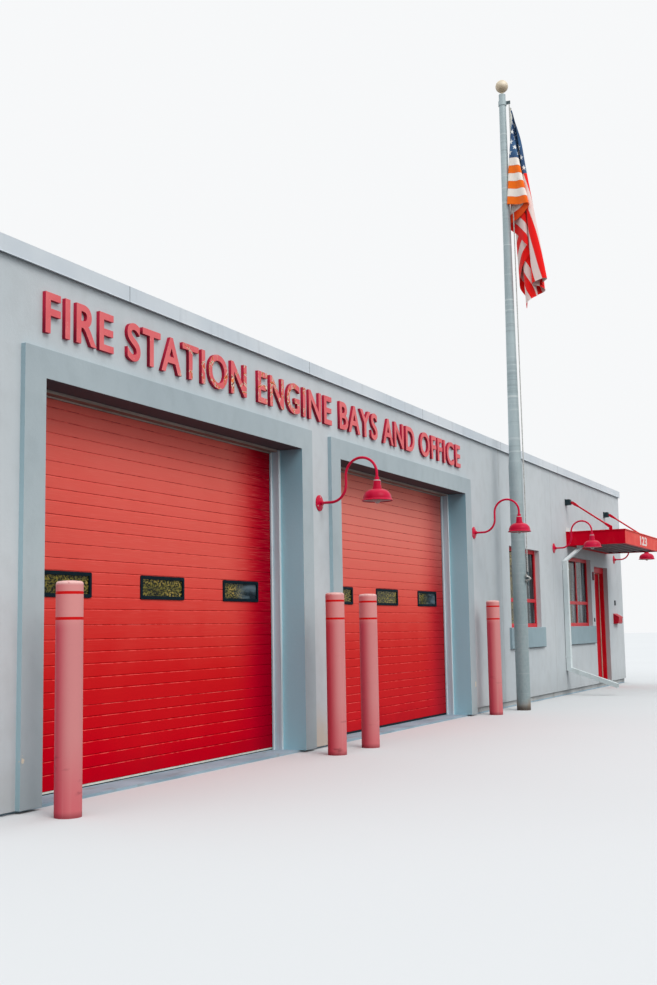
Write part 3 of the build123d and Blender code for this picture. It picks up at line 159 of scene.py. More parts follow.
class Finish:
    """One material and the nodes that feed its shader."""

    def __init__(self, name, roughness=0.6, **fixed):
        self.material = bpy.data.materials.new(name)
        self.material.use_nodes = True
        self.tree = self.material.node_tree
        self.shader = self.tree.nodes["Principled BSDF"]
        self.shader.inputs["Roughness"].default_value = roughness
        for socket, value in fixed.items():
            self.shader.inputs[socket.replace("_", " ")].default_value = value
        self.place = self.add("ShaderNodeTexCoord").outputs["Object"]

    def add(self, kind, inputs=None, **settings):
        node = self.tree.nodes.new(kind)
        for key, value in settings.items():
            setattr(node, key, value)
        for key, value in (inputs or {}).items():
            self.feed(node.inputs[key], value)
        return node

    def feed(self, socket, value):
        if isinstance(value, bpy.types.NodeSocket):
            self.tree.links.new(value, socket)
        else:
            socket.default_value = value

    def set(self, socket, value):
        self.feed(self.shader.inputs[socket], value)

    def done(self, tint, relief):
        """The material, with its colour and its relief."""
        self.set("Base Color", tint)
        self.set("Normal", relief)
        return self.material

    def painted(self):
        """The colour that the shader has so far."""
        return self.shader.inputs["Base Color"].links[0].from_socket

    def scaled(self, stretch):
        """The place on the object, stretched by a factor along each axis."""
        return self.add("ShaderNodeMapping", {"Vector": self.place, "Scale": stretch}).outputs[0]

    def noise(self, scale, detail=3.0, stretch=(1, 1, 1)):
        """Cloudy values around 0.5, scale features a metre."""
        return self.add("ShaderNodeTexNoise", {"Vector": self.scaled(stretch), "Scale": scale,
                                               "Detail": detail}).outputs[0]

    def cells(self, scale, stretch=(1, 1, 1), output="Color"):
        return self.add("ShaderNodeTexVoronoi", {"Vector": self.scaled(stretch),
                                                 "Scale": scale}).outputs[output]

    def axis(self, name):
        return self.add("ShaderNodeSeparateXYZ", {0: self.place}).outputs[name]

    def away(self, place, stretch):
        """The distance from a place, with both stretched alike."""
        near = [a * b for a, b in zip(place, stretch)]
        return self.add("ShaderNodeVectorMath", {0: self.scaled(stretch), 1: near},
                        operation="DISTANCE").outputs["Value"]

    def facing(self, name):
        """How far the surface looks along an axis, from -1 to 1."""
        normal = self.add("ShaderNodeNewGeometry").outputs["Normal"]
        return self.add("ShaderNodeSeparateXYZ", {0: normal}).outputs[name]

    def cut_metres(self, width, height):
        """The place on a flat cut, in metres."""
        cut = self.add("ShaderNodeUVMap", uv_map=CUT_MAP).outputs[0]
        return self.add("ShaderNodeMapping", {"Vector": cut, "Scale": (width, height, 1)}).outputs[0]

    def math(self, operation, first, second=0.0, third=0.0):
        return self.add("ShaderNodeMath", {0: first, 1: second, 2: third}, operation=operation).outputs[0]

    def times(self, first, second):
        return self.math("MULTIPLY", first, second)

    def rest(self, share):
        return self.math("SUBTRACT", 1.0, share)

    def span(self, value, start, end, low=0.0, high=1.0, smooth=True):
        """value carried from start..end to low..high, and held at the ends."""
        kind = "SMOOTHSTEP" if smooth else "LINEAR"
        return self.add("ShaderNodeMapRange", {"Value": value, "From Min": start, "From Max": end,
                                               "To Min": low, "To Max": high},
                        interpolation_type=kind).outputs[0]

    def band(self, value, low, high, soft):
        """1 from low to high, with edges that soft wide, and 0 outside."""
        return self.times(self.span(value, low - soft, low), self.span(value, high, high + soft, 1, 0))

    def repeat(self, value, start, pitch):
        """How far value is past the last of the places start, start + pitch and so on."""
        turns = self.times(self.math("SUBTRACT", value, start), 1 / pitch)
        return self.times(self.math("FRACT", turns), pitch)

    def patches(self, scale, detail, start, end, low=0.0, high=1.0, stretch=(1, 1, 1)):
        """Cloudy patches: noise carried from start..end to low..high."""
        return self.span(self.noise(scale, detail, stretch), start, end, low, high)

    def mix(self, share, first, second):
        node = self.add("ShaderNodeMix", data_type="RGBA")
        self.feed(node.inputs[0], share)
        self.feed(node.inputs[6], first)
        self.feed(node.inputs[7], second)
        return node.outputs[2]

    def bump(self, height, distance, strength=1.0, under=None):
        """A surface relief; distance is the height in metres of a full step."""
        inputs = {"Height": height, "Distance": distance, "Strength": strength}
        if under is not None:
            inputs["Normal"] = under
        return self.add("ShaderNodeBump", inputs).outputs[0]

    def grain(self, scale, detail, distance, strength, under=None, stretch=(1, 1, 1)):
        """A relief of noise."""
        return self.bump(self.noise(scale, detail, stretch), distance, strength, under)


def stucco(name, base, shade, stain, joints=()):
    """Trowelled stucco with rain streaks, dirt thrown up at the foot and upright joints at the given x."""
    finish = Finish(name, roughness=0.92, Specular_IOR_Level=0.15)
    x, z = finish.axis("X"), finish.axis("Z")
    clouds = finish.patches(0.45, 4, 0.35, 0.7)
    streaks = finish.patches(1.0, 5, 0.5, 0.78, 0, 0.06, (3.2, 3.2, 0.16))
    tint = finish.mix(clouds, base, shade)
    tint = finish.mix(streaks, tint, stain)
    trowel = finish.patches(7.0, 5, 0.42, 0.72, 0, 0.10, (1, 1, 0.7))
    tint = finish.mix(trowel, tint, stain)
    ragged_z = finish.math("ADD", z, finish.times(finish.noise(2.2, 4), 0.5))
    tint = finish.mix(finish.span(ragged_z, 0.2, 0.72, 0.2, 0), tint, stain)
    groove = 0.0
    for joint in joints:
        line = finish.band(x, joint - JOINT_HALF, joint + JOINT_HALF, JOINT_HALF)
        groove = finish.math("MAXIMUM", groove, line)
    tint = finish.mix(finish.times(groove, 0.45), tint, stain)
    hollows = finish.grain(38, 3, 0.0022, 0.5, finish.grain(330, 3, 0.0012, 0.6))
    finish.done(tint, finish.bump(groove, -0.003, 1.0, hollows))
    return finish


def wall_stucco():
    """The pale walls, with a warm tint on the front face at the foot of the pier between the bays."""
    finish = stucco("stucco_white", colour(205, 210, 213), colour(195, 202, 206), colour(150, 150, 147),
                    WALL_JOINTS)
    low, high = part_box("front_centre_pier")
    pier = finish.band(finish.axis("X"), low.x, high.x, 0.03)
    height = finish.math("ADD", finish.axis("Z"), finish.times(finish.noise(3.0, 4), 0.6))
    share = finish.times(pier, finish.span(height, 0.3, 0.75, 0.55, 0))
    front = finish.span(finish.facing("Y"), -0.5, -0.3, 1, 0)
    share = finish.times(share, front)
    painted = finish.painted()
    finish.set("Base Color", finish.mix(share, painted, colour(214, 188, 162)))
    return finish.material


def blue_stucco():
    """The grey-blue surrounds, with painted shade: side faces in each recess bluer and darker towards the
    head, and dark faces that look down; with chipped edges.
    """
    finish = stucco("stucco_blue_grey", colour(181, 192, 196), colour(168, 180, 186), colour(128, 138, 141))
    painted = finish.painted()
    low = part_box("bay_surround_1")[0].x - 0.01
    # painted shade: the side faces of each recess are bluer and darker towards the head, less so on the
    # surround's outer edge faces
    outer = finish.math("LESS_THAN", finish.repeat(finish.axis("X"), low, BAY_PITCH), 0.02)
    inside = finish.times(finish.span(finish.facing("Y"), -0.6, -0.4),
                         finish.math("MULTIPLY_ADD", outer, -0.6, 1.0))
    painted_reveal_shade = finish.mix(finish.span(finish.axis("Z"), 1.9, 2.9), colour(157, 205, 218), colour(131, 173, 187))
    painted = finish.mix(inside, painted, painted_reveal_shade)
    # painted shade: faces that look down are dark
    under = finish.span(finish.facing("Z"), -0.6, -0.4, 1, 0)
    painted = finish.mix(under, painted, colour(78, 74, 78))
    for x, z, size in CHIPS:
        away = finish.away((x, 0, z), (1, 0, 0.5))
        ragged = finish.math("ADD", away, finish.times(finish.noise(60, 3), 0.05))
        painted = finish.mix(finish.span(ragged, size + 0.02, size + 0.028, 1, 0), painted,
                             colour(220, 208, 186))
    finish.set("Base Color", painted)
    return finish.material


def panel_stucco():
    """The raised panels under the office windows, with painted shade on their faces that look down."""
    finish = stucco("stucco_panel", colour(160, 180, 187), colour(146, 166, 174), colour(112, 126, 130))
    painted = finish.painted()
    # painted shade: faces that look down are dark
    under = finish.span(finish.facing("Z"), -0.5, -0.2, 1, 0)
    finish.set("Base Color", finish.mix(under, painted, colour(44, 48, 54)))
    return finish.material


def concrete(name, base, shade):
    finish = Finish(name, roughness=0.92, Specular_IOR_Level=0.2)
    clouds = finish.patches(1.6, 6, 0.3, 0.72)
    tint = finish.mix(clouds, base, shade)
    pits = finish.span(finish.cells(85, output="Distance"), 0.0, 0.14)
    tint = finish.mix(pits, colour(112, 114, 116), tint)
    stains = finish.patches(3.4, 6, 0.56, 0.66, 0, 0.35, (1, 2, 1))
    return finish.done(finish.mix(stains, tint, colour(134, 128, 118)), finish.grain(120, 5, 0.002, 0.6))


def roofing():
    """Pale mineral-surfaced sheets, lapped every metre."""
    finish = Finish("roof_sheet", roughness=0.93, Specular_IOR_Level=0.2)
    lap = finish.repeat(finish.axis("X"), 0.0, ROOF_LAP)
    wander = finish.times(finish.noise(3.0, 2), 0.01)
    seam = finish.span(finish.math("ADD", lap, wander), 0.004, 0.016, 1, 0)
    clouds = finish.patches(0.5, 5, 0.3, 0.7)
    grain = finish.noise(240, 2)
    tint = finish.mix(clouds, colour(158, 160, 158), colour(128, 132, 132))
    puddles = finish.patches(0.5, 5, 0.58, 0.66, 0, 0.25)
    tint = finish.mix(puddles, tint, colour(104, 104, 98))
    tint = finish.mix(finish.span(grain, 0.4, 0.75, 0, 0.7), tint, colour(180, 182, 180))
    tint = finish.mix(seam, tint, colour(62, 62, 62))
    raised = finish.bump(seam, 0.006, 0.8)
    return finish.done(tint, finish.bump(grain, 0.002, 0.7, raised))


def paint_coat(name, base, shade, wear, roughness=0.42, gloss=0.12, worn=0.35):
    """Brushed or sprayed paint with slow changes of tint, dust paled by the sun, small flakes and orange
    peel.
    """
    finish = Finish(name, roughness=roughness, Specular_IOR_Level=gloss)
    clouds = finish.patches(1.3, 4, 0.32, 0.72)
    tint = finish.mix(clouds, base, shade)
    dust = finish.patches(9, 6, 0.52, 0.8, 0, worn, (1, 1, 0.35))
    tint = finish.mix(dust, tint, wear)
    flakes = finish.patches(46, 5, 0.70, 0.74, 0, worn)
    finish.done(finish.mix(flakes, tint, wear), finish.grain(260, 2, 0.0003, 0.35))
    return finish


def paint(*look):
    return paint_coat(*look).material


def across_bay(finish):
    """How far a place is across its own bay door, and the width of a door."""
    low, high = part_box("bay_door_1")
    return finish.repeat(finish.axis("X"), low.x, DOOR_PITCH), high.x - low.x


def bay_door_red():
    """Embossed steel sections. Painted reflection: pale high up, dark crimson low down, and darker towards
    both side edges, darkest at the right. Painted highlights and shade on the groove faces. Darker at the
    foot, pale streaks at middle height, and one door is paler.
    """
    finish = Finish("bay_door_steel", roughness=0.5, Specular_IOR_Level=0.0)
    z, up = finish.axis("Z"), finish.facing("Z")
    across, width = across_bay(finish)
    drift = finish.times(finish.math("SUBTRACT", finish.noise(0.8, 4), 0.5), 0.9)
    height = finish.math("ADD", z, drift)
    # painted reflection: dark crimson low down, growing paler higher up
    tint = finish.mix(finish.span(height, 0.1, 1.3, smooth=False), colour(204, 0, 26), colour(218, 40, 38))
    tint = finish.mix(finish.span(height, 0.75, 1.95), tint, colour(230, 92, 82))
    tint = finish.mix(finish.span(height, 1.9, 3.0), tint, colour(240, 112, 101))
    # painted reflection of the dark jambs: darker towards both side edges of each door, darkest at the
    # right
    edge = finish.span(across, width * 0.76, width * 0.95)
    edge = finish.math("MAXIMUM", edge, finish.span(across, 0.0, 0.28, 0.3, 0))
    tint = finish.mix(edge, tint, colour(196, 2, 34))
    tint = finish.mix(finish.span(across, width * 0.86, width * 0.99, 0, 0.8), tint, colour(146, 0, 28))
    second = finish.math("GREATER_THAN", finish.axis("X"), SECOND_DOOR_X - 0.1)
    paler = finish.times(second, finish.span(z, 1.3, 2.6, 0.03, 0.25))
    tint = finish.mix(paler, tint, colour(240, 190, 172))
    lines = finish.noise(3.0, 4, (1.2, 1.2, 70))
    paler_tint = finish.times(finish.span(lines, 0.5, 0.75, 0, 0.30), finish.span(z, 0.6, 2.2))
    tint = finish.mix(paler_tint, tint, colour(238, 132, 120))
    broken = finish.patches(9.0, 4, 0.40, 0.60, 0.1, 0.8, (1, 1, 0.2))
    # painted highlight on the groove faces that look up, painted shade on those that look down
    painted_groove_highlight = finish.times(finish.span(up, 0.3, 0.6), finish.rest(edge))
    tint = finish.mix(finish.times(painted_groove_highlight, broken), tint, colour(236, 104, 98))
    painted_groove_shade = finish.times(finish.span(up, -0.6, -0.3, 1, 0), finish.rest(broken))
    tint = finish.mix(finish.times(painted_groove_shade, 0.75), tint, colour(140, 16, 32))
    # darker towards the foot
    ragged_z = finish.math("ADD", z, finish.times(finish.noise(3, 5), 0.4))
    tint = finish.mix(finish.span(ragged_z, 0.2, 0.5, 0.3, 0), tint, colour(140, 16, 28))
    grain = finish.grain(9.0, 3, 0.0016, 0.6, stretch=(1, 1, 26))
    return finish.done(tint, finish.grain(150, 2, 0.0006, 0.35, grain))


def bay_glass():
    """Panes with a painted reflection: olive and mottled with foliage towards the left of each door, and
    blue-grey towards the right.
    """
    finish = Finish("bay_pane", roughness=0.04, IOR=1.2, Specular_IOR_Level=0.3, Transmission_Weight=0.25)
    across, width = across_bay(finish)
    # painted reflection of foliage: olive mottling
    reflected_leaves = finish.noise(58.0, 8, (0.7, 1, 1.0))
    reflected_branches = finish.noise(8.0, 4, (0.5, 1, 1.6))
    shown = finish.times(finish.span(reflected_leaves, 0.38, 0.66), finish.span(reflected_branches, 0.25, 0.60, 0.35, 1))
    tint = finish.mix(shown, colour(16, 24, 18), colour(150, 138, 58))
    # painted glints where the reflected foliage is bright
    light = finish.times(finish.span(reflected_leaves, 0.5, 0.62), finish.span(reflected_branches, 0.50, 0.62))
    tint = finish.mix(light, tint, colour(190, 160, 80))
    # painted blue-grey reflection towards the right of each door
    away = finish.span(across, width * 0.80, width * 0.88)
    cold = finish.mix(finish.span(reflected_branches, 0.35, 0.65), colour(34, 46, 54), colour(104, 122, 132))
    return finish.done(finish.mix(away, tint, cold), finish.grain(1.4, 1, 0.0006, 0.5))


def office_glass():
    """Window panes with a painted reflection: warm foliage at the left of each window and cold streaks at
    its right.
    """
    finish = Finish("office_pane", roughness=0.03, IOR=1.2, Specular_IOR_Level=0.3, Transmission_Weight=0.6)
    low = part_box("front_window_frames")[0]
    across = finish.repeat(finish.axis("X"), low.x, OFFICE_WINDOW_PITCH)
    # painted reflection: foliage at the left of each window, cold streaks at its right
    reflected_leaves = finish.noise(34.0, 8, (1, 1, 0.8))
    reflected_boughs = finish.noise(5.0, 4, (1, 1, 1.4))
    shown = finish.times(finish.span(reflected_leaves, 0.36, 0.66), finish.span(reflected_boughs, 0.30, 0.62, 0.3, 1))
    warm = finish.mix(shown, colour(34, 42, 26), colour(206, 184, 96))
    streaks = finish.noise(4.0, 3, (2.4, 1, 0.2))
    cold = finish.mix(finish.span(streaks, 0.44, 0.68), colour(16, 34, 42), colour(168, 188, 196))
    leafy = finish.times(finish.span(across, 0.30, 0.55, 1, 0), finish.span(finish.axis("Y"), 0, 1, 1, 0))
    return finish.done(finish.mix(leafy, cold, warm), finish.grain(1.4, 1, 0.0006, 0.5))


def rubber(name, base, light):
    finish = Finish(name, roughness=0.7, Specular_IOR_Level=0.1)
    dust = finish.patches(14, 6, 0.45, 0.8, 0, 0.6)
    return finish.done(finish.mix(dust, base, light), finish.grain(320, 2, 0.0004, 0.4))


def bottom_seal():
    """A rubber strip with a dark lip, sun-whitened to pale under the first door only."""
    finish = Finish("seal_rubber", roughness=0.7, Specular_IOR_Level=0.1)
    low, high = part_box("bay_bottom_seals")
    dust = finish.patches(14, 6, 0.45, 0.8)
    pale = finish.mix(dust, colour(222, 220, 208), colour(180, 184, 182))
    lip = finish.span(finish.axis("Z"), low.z + (high.z - low.z) * 0.30, low.z + (high.z - low.z) * 0.40)
    first = finish.math("LESS_THAN", finish.axis("X"), (low.x + high.x) / 2)
    tint = finish.mix(finish.times(lip, first), colour(26, 40, 48), pale)
    return finish.done(tint, finish.grain(320, 2, 0.0004, 0.4))


def bollard_plastic():
    """Plastic sleeve with painted light, paler on the faces that look towards the street and redder on the
    others; deeper red at the foot, a chalky top and two bright tape rings.
    """
    finish = Finish("bollard_sleeve", roughness=0.55, Specular_IOR_Level=0.1)
    z = finish.axis("Z")
    height = finish.math("ADD", z, finish.times(finish.noise(2.0, 4), 0.4))
    # painted light: paler on faces that look towards the street, redder on the others
    street_side_painted_light = finish.span(finish.facing("Y"), -0.75, 0.35, 1, 0)
    tint = finish.mix(street_side_painted_light, colour(210, 78, 94), colour(216, 138, 138))
    tint = finish.mix(finish.span(height, 0.15, 0.75, 0.55, 0), tint, colour(214, 76, 92))
    tint = finish.mix(finish.span(z, 1.2, 1.3, 0, 0.4), tint, colour(236, 164, 158))
    streaks = finish.patches(1.0, 4, 0.50, 0.8, 0, 0.3, (22, 22, 0.4))
    tint = finish.mix(streaks, tint, colour(224, 160, 156))
    specks = finish.patches(70, 4, 0.56, 0.68)
    chalk = finish.mix(specks, colour(236, 190, 184), colour(206, 132, 134))
    tint = finish.mix(finish.span(z, *BOLLARD_CAP), tint, chalk)
    for ring in BOLLARD_RINGS:
        tape = finish.band(z, ring - RING_HALF, ring + RING_HALF, RING_EDGE)
        tint = finish.mix(tape, tint, colour(214, 14, 18))
    scuffs = finish.patches(5, 6, 0.60, 0.74, stretch=(1, 1, 3))
    low = finish.span(z, 0.1, 0.7, 0.6, 0.05)
    tint = finish.mix(finish.times(scuffs, low), tint, colour(112, 40, 48))
    tint = finish.mix(finish.span(z, 0.0, 0.05, 0.6, 0), tint, colour(116, 40, 48))
    return finish.done(tint, finish.grain(1.0, 3, 0.0007, 0.4, stretch=(40, 40, 1)))


def galvanised():
    """Weathered zinc on the pole, paler and faintly ringed higher up, with a rusty foot."""
    finish = Finish("pole_metal", roughness=0.5, Metallic=0.15, Specular_IOR_Level=0.3)
    z = finish.axis("Z")
    clouds = finish.patches(3.0, 5, 0.3, 0.7, stretch=(1, 1, 0.35))
    lowdown = finish.mix(clouds, colour(148, 163, 166), colour(128, 146, 149))
    highup = finish.mix(clouds, colour(180, 194, 197), colour(158, 173, 177))
    tint = finish.mix(finish.span(z, 1.2, 3.8), lowdown, highup)
    spangle = finish.span(finish.cells(40, (1, 1, 0.5), "Distance"), 0.0, 0.9, 0, 0.12)
    tint = finish.mix(spangle, tint, colour(196, 204, 203))
    rings = finish.noise(1.0, 4, (0.4, 0.4, 30))
    spun = finish.span(z, 3.35, 3.75, 0.2, 1)
    tint = finish.mix(finish.times(finish.span(rings, 0.56, 0.70, 0, 0.6), spun), tint,
                      colour(214, 221, 220))
    tint = finish.mix(finish.times(finish.span(rings, 0.28, 0.42, 0.5, 0), spun), tint,
                      colour(126, 140, 144))
    away = finish.away(POLE_AXIS, (1, 1, 0))
    pulley = finish.times(finish.span(away, 0.062, 0.066), finish.span(z, 8.6, 8.62))
    cleat = finish.times(finish.span(away, 0.098, 0.102), finish.span(z, 8.0, 8.02, 1, 0))
    tint = finish.mix(finish.math("MAXIMUM", pulley, cleat), tint, colour(78, 92, 96))
    rust = finish.math("ADD", z, finish.times(finish.noise(6.0, 4, (1, 1, 0.4)), 0.7))
    tint = finish.mix(finish.span(rust, 0.35, 0.62, 0.8, 0), tint, colour(142, 118, 96))
    tint = finish.mix(finish.span(z, 0.02, 0.09, 0.8, 0), tint, colour(66, 56, 50))
    return finish.done(tint, finish.bump(finish.times(rings, spun), 0.0022, 0.6))


def jamb_metal():
    """Pale aluminium trim beside the doors, streaked, with painted shade making the inner faces a darker
    grey-blue.
    """
    finish = Finish("jamb_trim_metal", roughness=0.5, Metallic=0.1, Specular_IOR_Level=0.3)
    streaks = finish.patches(2.0, 5, 0.4, 0.75, stretch=(14, 14, 0.5))
    front = finish.mix(streaks, colour(226, 231, 233), colour(200, 208, 212))
    side = finish.mix(streaks, colour(188, 210, 220), colour(166, 190, 200))
    # painted shade: faces that do not look towards the street are darker and bluer
    tint = finish.mix(finish.span(finish.facing("Y"), -0.8, -0.4), front, side)
    return finish.done(tint, finish.grain(150, 2, 0.0003, 0.3))


def head_metal():
    """Trim over the doors: a tan strip in front, with painted shade making the faces that look down brown
    and dim.
    """
    finish = Finish("head_trim_metal", roughness=0.5, Metallic=0.1, Specular_IOR_Level=0.3)
    streaks = finish.patches(2.0, 5, 0.4, 0.75, stretch=(1.2, 14, 14))
    front = finish.mix(streaks, colour(178, 164, 156), colour(150, 134, 126))
    under = finish.mix(streaks, colour(122, 96, 84), colour(96, 72, 66))
    # painted shade on the faces that look down
    tint = finish.mix(finish.span(finish.facing("Z"), -0.7, -0.3, 1, 0), front, under)
    return finish.done(tint, finish.grain(150, 2, 0.0003, 0.3))


def coping_metal():
    """Pre-painted sheet metal, slightly wavy between its fixings, jointed every few metres."""
    finish = Finish("coping_sheet", roughness=0.4, Metallic=0.05, Specular_IOR_Level=0.3)
    clouds = finish.patches(0.8, 4, 0.35, 0.7)
    tint = finish.mix(clouds, colour(214, 220, 225), colour(198, 207, 215))
    drips = finish.patches(2.2, 5, 0.55, 0.8, 0, 0.3, (5, 5, 0.6))
    tint = finish.mix(drips, tint, colour(154, 162, 168))
    along = finish.repeat(finish.axis("X"), COPING_SEAM_X, COPING_SHEET)
    over = finish.repeat(finish.axis("Y"), COPING_SEAM_Y, COPING_SHEET)
    nearest = finish.math("MINIMUM", along, over)
    seam = finish.span(nearest, 0.004, 0.008, 1, 0)
    lap = finish.span(nearest, 0.09, 0.094, 1, 0)
    tint = finish.mix(seam, tint, colour(92, 98, 104))
    wave = finish.grain(1.2, 2, 0.006, 0.5, stretch=(1, 1, 2))
    return finish.done(tint, finish.bump(lap, 0.0015, 1.0, wave))


def hardware(name, base, roughness):
    finish = Finish(name, roughness=roughness, Metallic=0.9)
    wear = finish.patches(40, 5, 0.4, 0.75)
    return finish.done(finish.mix(wear, base, colour(120, 118, 112)), finish.grain(300, 2, 0.0002, 0.3))


def canopy_paint():
    """Red channel steel: dark crimson at the sides and, as painted light, paler in front, with a dark band
    just under its top edge.
    """
    finish = paint_coat("canopy_paint", colour(212, 8, 38), colour(196, 2, 32), colour(220, 64, 68),
                        0.45, 0.02, 0.2)
    painted = finish.painted()
    # painted light: faces that look towards the street are paler than the sides
    paler_tint = finish.mix(finish.patches(2.4, 5, 0.35, 0.7), colour(232, 70, 66), colour(240, 100, 86))
    painted = finish.mix(finish.span(finish.facing("Y"), -0.85, -0.6, 1, 0), painted, paler_tint)
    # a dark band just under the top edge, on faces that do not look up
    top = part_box("canopy_frame")[1].z
    lip = finish.span(finish.axis("Z"), *(top - depth for depth in CANOPY_DARK_BAND))
    front = finish.times(lip, finish.span(finish.facing("Z"), 0.2, 0.6, 0.8, 0))
    finish.set("Base Color", finish.mix(front, painted, colour(140, 16, 32)))
    return finish.material


def lamp_enamel():
    """Crimson enamel, a dull zinc collar on top, and white enamel on the faces inside the shade."""
    finish = Finish("lamp_enamel", roughness=0.34, Specular_IOR_Level=0.14)
    outside = finish.mix(finish.patches(7, 4, 0.35, 0.7), colour(202, 16, 64), colour(186, 6, 50))
    dust = finish.span(finish.facing("Z"), 0.5, 0.95, 0, 0.25)
    outside = finish.mix(dust, outside, colour(220, 96, 108))
    foot, top = (corner.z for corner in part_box("lamp_shades"))
    z = finish.axis("Z")
    inside = finish.times(finish.span(finish.facing("Z"), -0.12, -0.02, 1, 0),
                         finish.span(z, foot + 0.008, foot + 0.012))
    tint = finish.mix(inside, outside, colour(226, 206, 204))
    tint = finish.mix(finish.span(z, top - 0.010, top - 0.008), tint, colour(196, 192, 188))
    return finish.done(tint, finish.grain(90, 2, 0.0004, 0.3))


def frosted_bulb():
    finish = Finish("bulb_glass", roughness=0.12, Transmission_Weight=0.35, IOR=1.45)
    tint = finish.mix(finish.noise(30, 2), colour(240, 222, 218), colour(214, 196, 194))
    return finish.done(tint, finish.grain(120, 2, 0.0002, 0.3))


def rope():
    finish = Finish("halyard_braid", roughness=0.88, Specular_IOR_Level=0.1)
    twist = finish.noise(1.0, 2, (90, 90, 140))
    tint = finish.mix(finish.span(twist, 0.4, 0.6), colour(218, 218, 214), colour(160, 160, 158))
    return finish.done(tint, finish.bump(twist, 0.002, 0.8))


def worn_gilt():
    """The pole's ball: gilt gone pale and chalky, browner in patches and under its equator."""
    finish = Finish("ball_gilt", roughness=0.5, Metallic=0.15, Specular_IOR_Level=0.4)
    wear = finish.patches(11, 5, 0.35, 0.75)
    tint = finish.mix(wear, colour(234, 220, 198), colour(206, 188, 160))
    under = finish.span(finish.facing("Z"), -0.8, 0.3, 0.55, 0)
    return finish.done(finish.mix(under, tint, colour(170, 142, 110)), finish.grain(60, 3, 0.0008, 0.4))


def cast_black():
    finish = Finish("bracket_iron", roughness=0.5, Metallic=0.1, Specular_IOR_Level=0.3)
    tint = finish.mix(finish.noise(24, 5), colour(12, 34, 42), colour(36, 56, 62))
    return finish.done(tint, finish.grain(180, 3, 0.0008, 0.5))


def plastic(name, base, light):
    finish = Finish(name, roughness=0.42, Specular_IOR_Level=0.25)
    tint = finish.mix(finish.patches(20, 4, 0.4, 0.8), base, light)
    return finish.done(tint, finish.grain(400, 2, 0.0002, 0.4))


def sign_paint():
    """Letters salmon in front and, as painted shade, crimson at the sides, cracked and flaking in one
    stretch.
    """
    finish = Finish("sign_paint", roughness=0.5, Specular_IOR_Level=0.1)
    paler_tint = finish.mix(finish.patches(3.0, 5, 0.35, 0.7), colour(234, 116, 118), colour(226, 98, 104))
    specks = finish.patches(40, 4, 0.60, 0.72, 0, 0.4)
    paler_tint = finish.mix(specks, paler_tint, colour(240, 156, 150))
    cracked = finish.band(finish.axis("X"), CRACKED_FROM, CRACKED_TO, 0.25)
    cracked = finish.times(cracked, finish.patches(2.2, 3, 0.42, 0.52))
    edge = finish.add("ShaderNodeTexVoronoi", {"Vector": finish.scaled((1, 0, 1)), "Scale": 8.0},
                      feature="DISTANCE_TO_EDGE").outputs["Distance"]
    flaked = finish.times(finish.span(edge, 0.06, 0.07, 1, 0), cracked)
    bare = finish.mix(finish.patches(30, 2, 0.45, 0.55), colour(238, 120, 52), colour(240, 212, 190))
    paler_tint = finish.mix(flaked, paler_tint, bare)
    paler_tint = finish.mix(finish.times(finish.span(edge, 0.012, 0.018, 1, 0), cracked), paler_tint,
                       colour(112, 24, 40))
    # painted shade: the side faces of the letters are crimson
    side = finish.span(finish.facing("Y"), -0.75, -0.45)
    tint = finish.mix(side, paler_tint, colour(176, 34, 62))
    relief = finish.bump(flaked, -0.002, 1.0)
    return finish.done(tint, finish.grain(200, 2, 0.0003, 0.4, relief))


def curtain_weave(name, base, shade, thread):
    """Loose-woven cloth, worked out on its cut so that the weave follows the folds."""
    finish = Finish(name, roughness=0.95, Specular_IOR_Level=0.05, Sheen_Weight=0.2)
    cut = finish.cut_metres(CURTAIN_FLAT_W, CURTAIN_H)
    across, down = (finish.add("ShaderNodeSeparateXYZ", {0: cut}).outputs[name] for name in "XY")
    warp = finish.math("SINE", finish.times(across, THREADS))
    weft = finish.math("SINE", finish.times(down, THREADS))
    weave = finish.times(warp, weft)
    clouds = finish.add("ShaderNodeTexNoise", {"Vector": cut, "Scale": 4.0, "Detail": 4.0}).outputs[0]
    tint = finish.mix(finish.span(clouds, 0.3, 0.7), base, shade)
    stripe = finish.repeat(across, 0.0, CURTAIN_STRIPE)
    tint = finish.mix(finish.span(stripe, 0.018, 0.022, 0.7, 0), tint, thread)
    return finish.done(tint, finish.bump(weave, 0.0005, 0.6))


def star_share(finish, across, down):
    """1 inside one of fifty five-point stars, set in a lattice of nine rows over the canton."""
    first = finish.math("ROUND", finish.times(finish.math("ADD", across, down), 0.5))
    second = finish.math("ROUND", finish.times(finish.math("SUBTRACT", across, down), 0.5))
    column = finish.math("ADD", first, second)
    row = finish.math("SUBTRACT", first, second)
    aside = finish.math("SUBTRACT", across, column)
    below = finish.math("SUBTRACT", down, row)
    reach = finish.math("POWER", finish.math("ADD", finish.times(aside, aside),
                                             finish.times(below, below)), 0.5)
    turn = finish.math("ARCTAN2", aside, finish.times(below, -1.0))
    folded = finish.math("PINGPONG", turn, math.radians(36))
    lean = finish.math("COSINE", finish.math("SUBTRACT", math.radians(72), folded))
    inside = finish.math("LESS_THAN", finish.times(reach, lean),
                         STAR_R * math.cos(math.radians(72)))
    for value, last in ((column, 11.5), (row, 9.5)):
        inside = finish.times(inside, finish.math("GREATER_THAN", value, 0.5))
        inside = finish.times(inside, finish.math("LESS_THAN", value, last))
    return inside


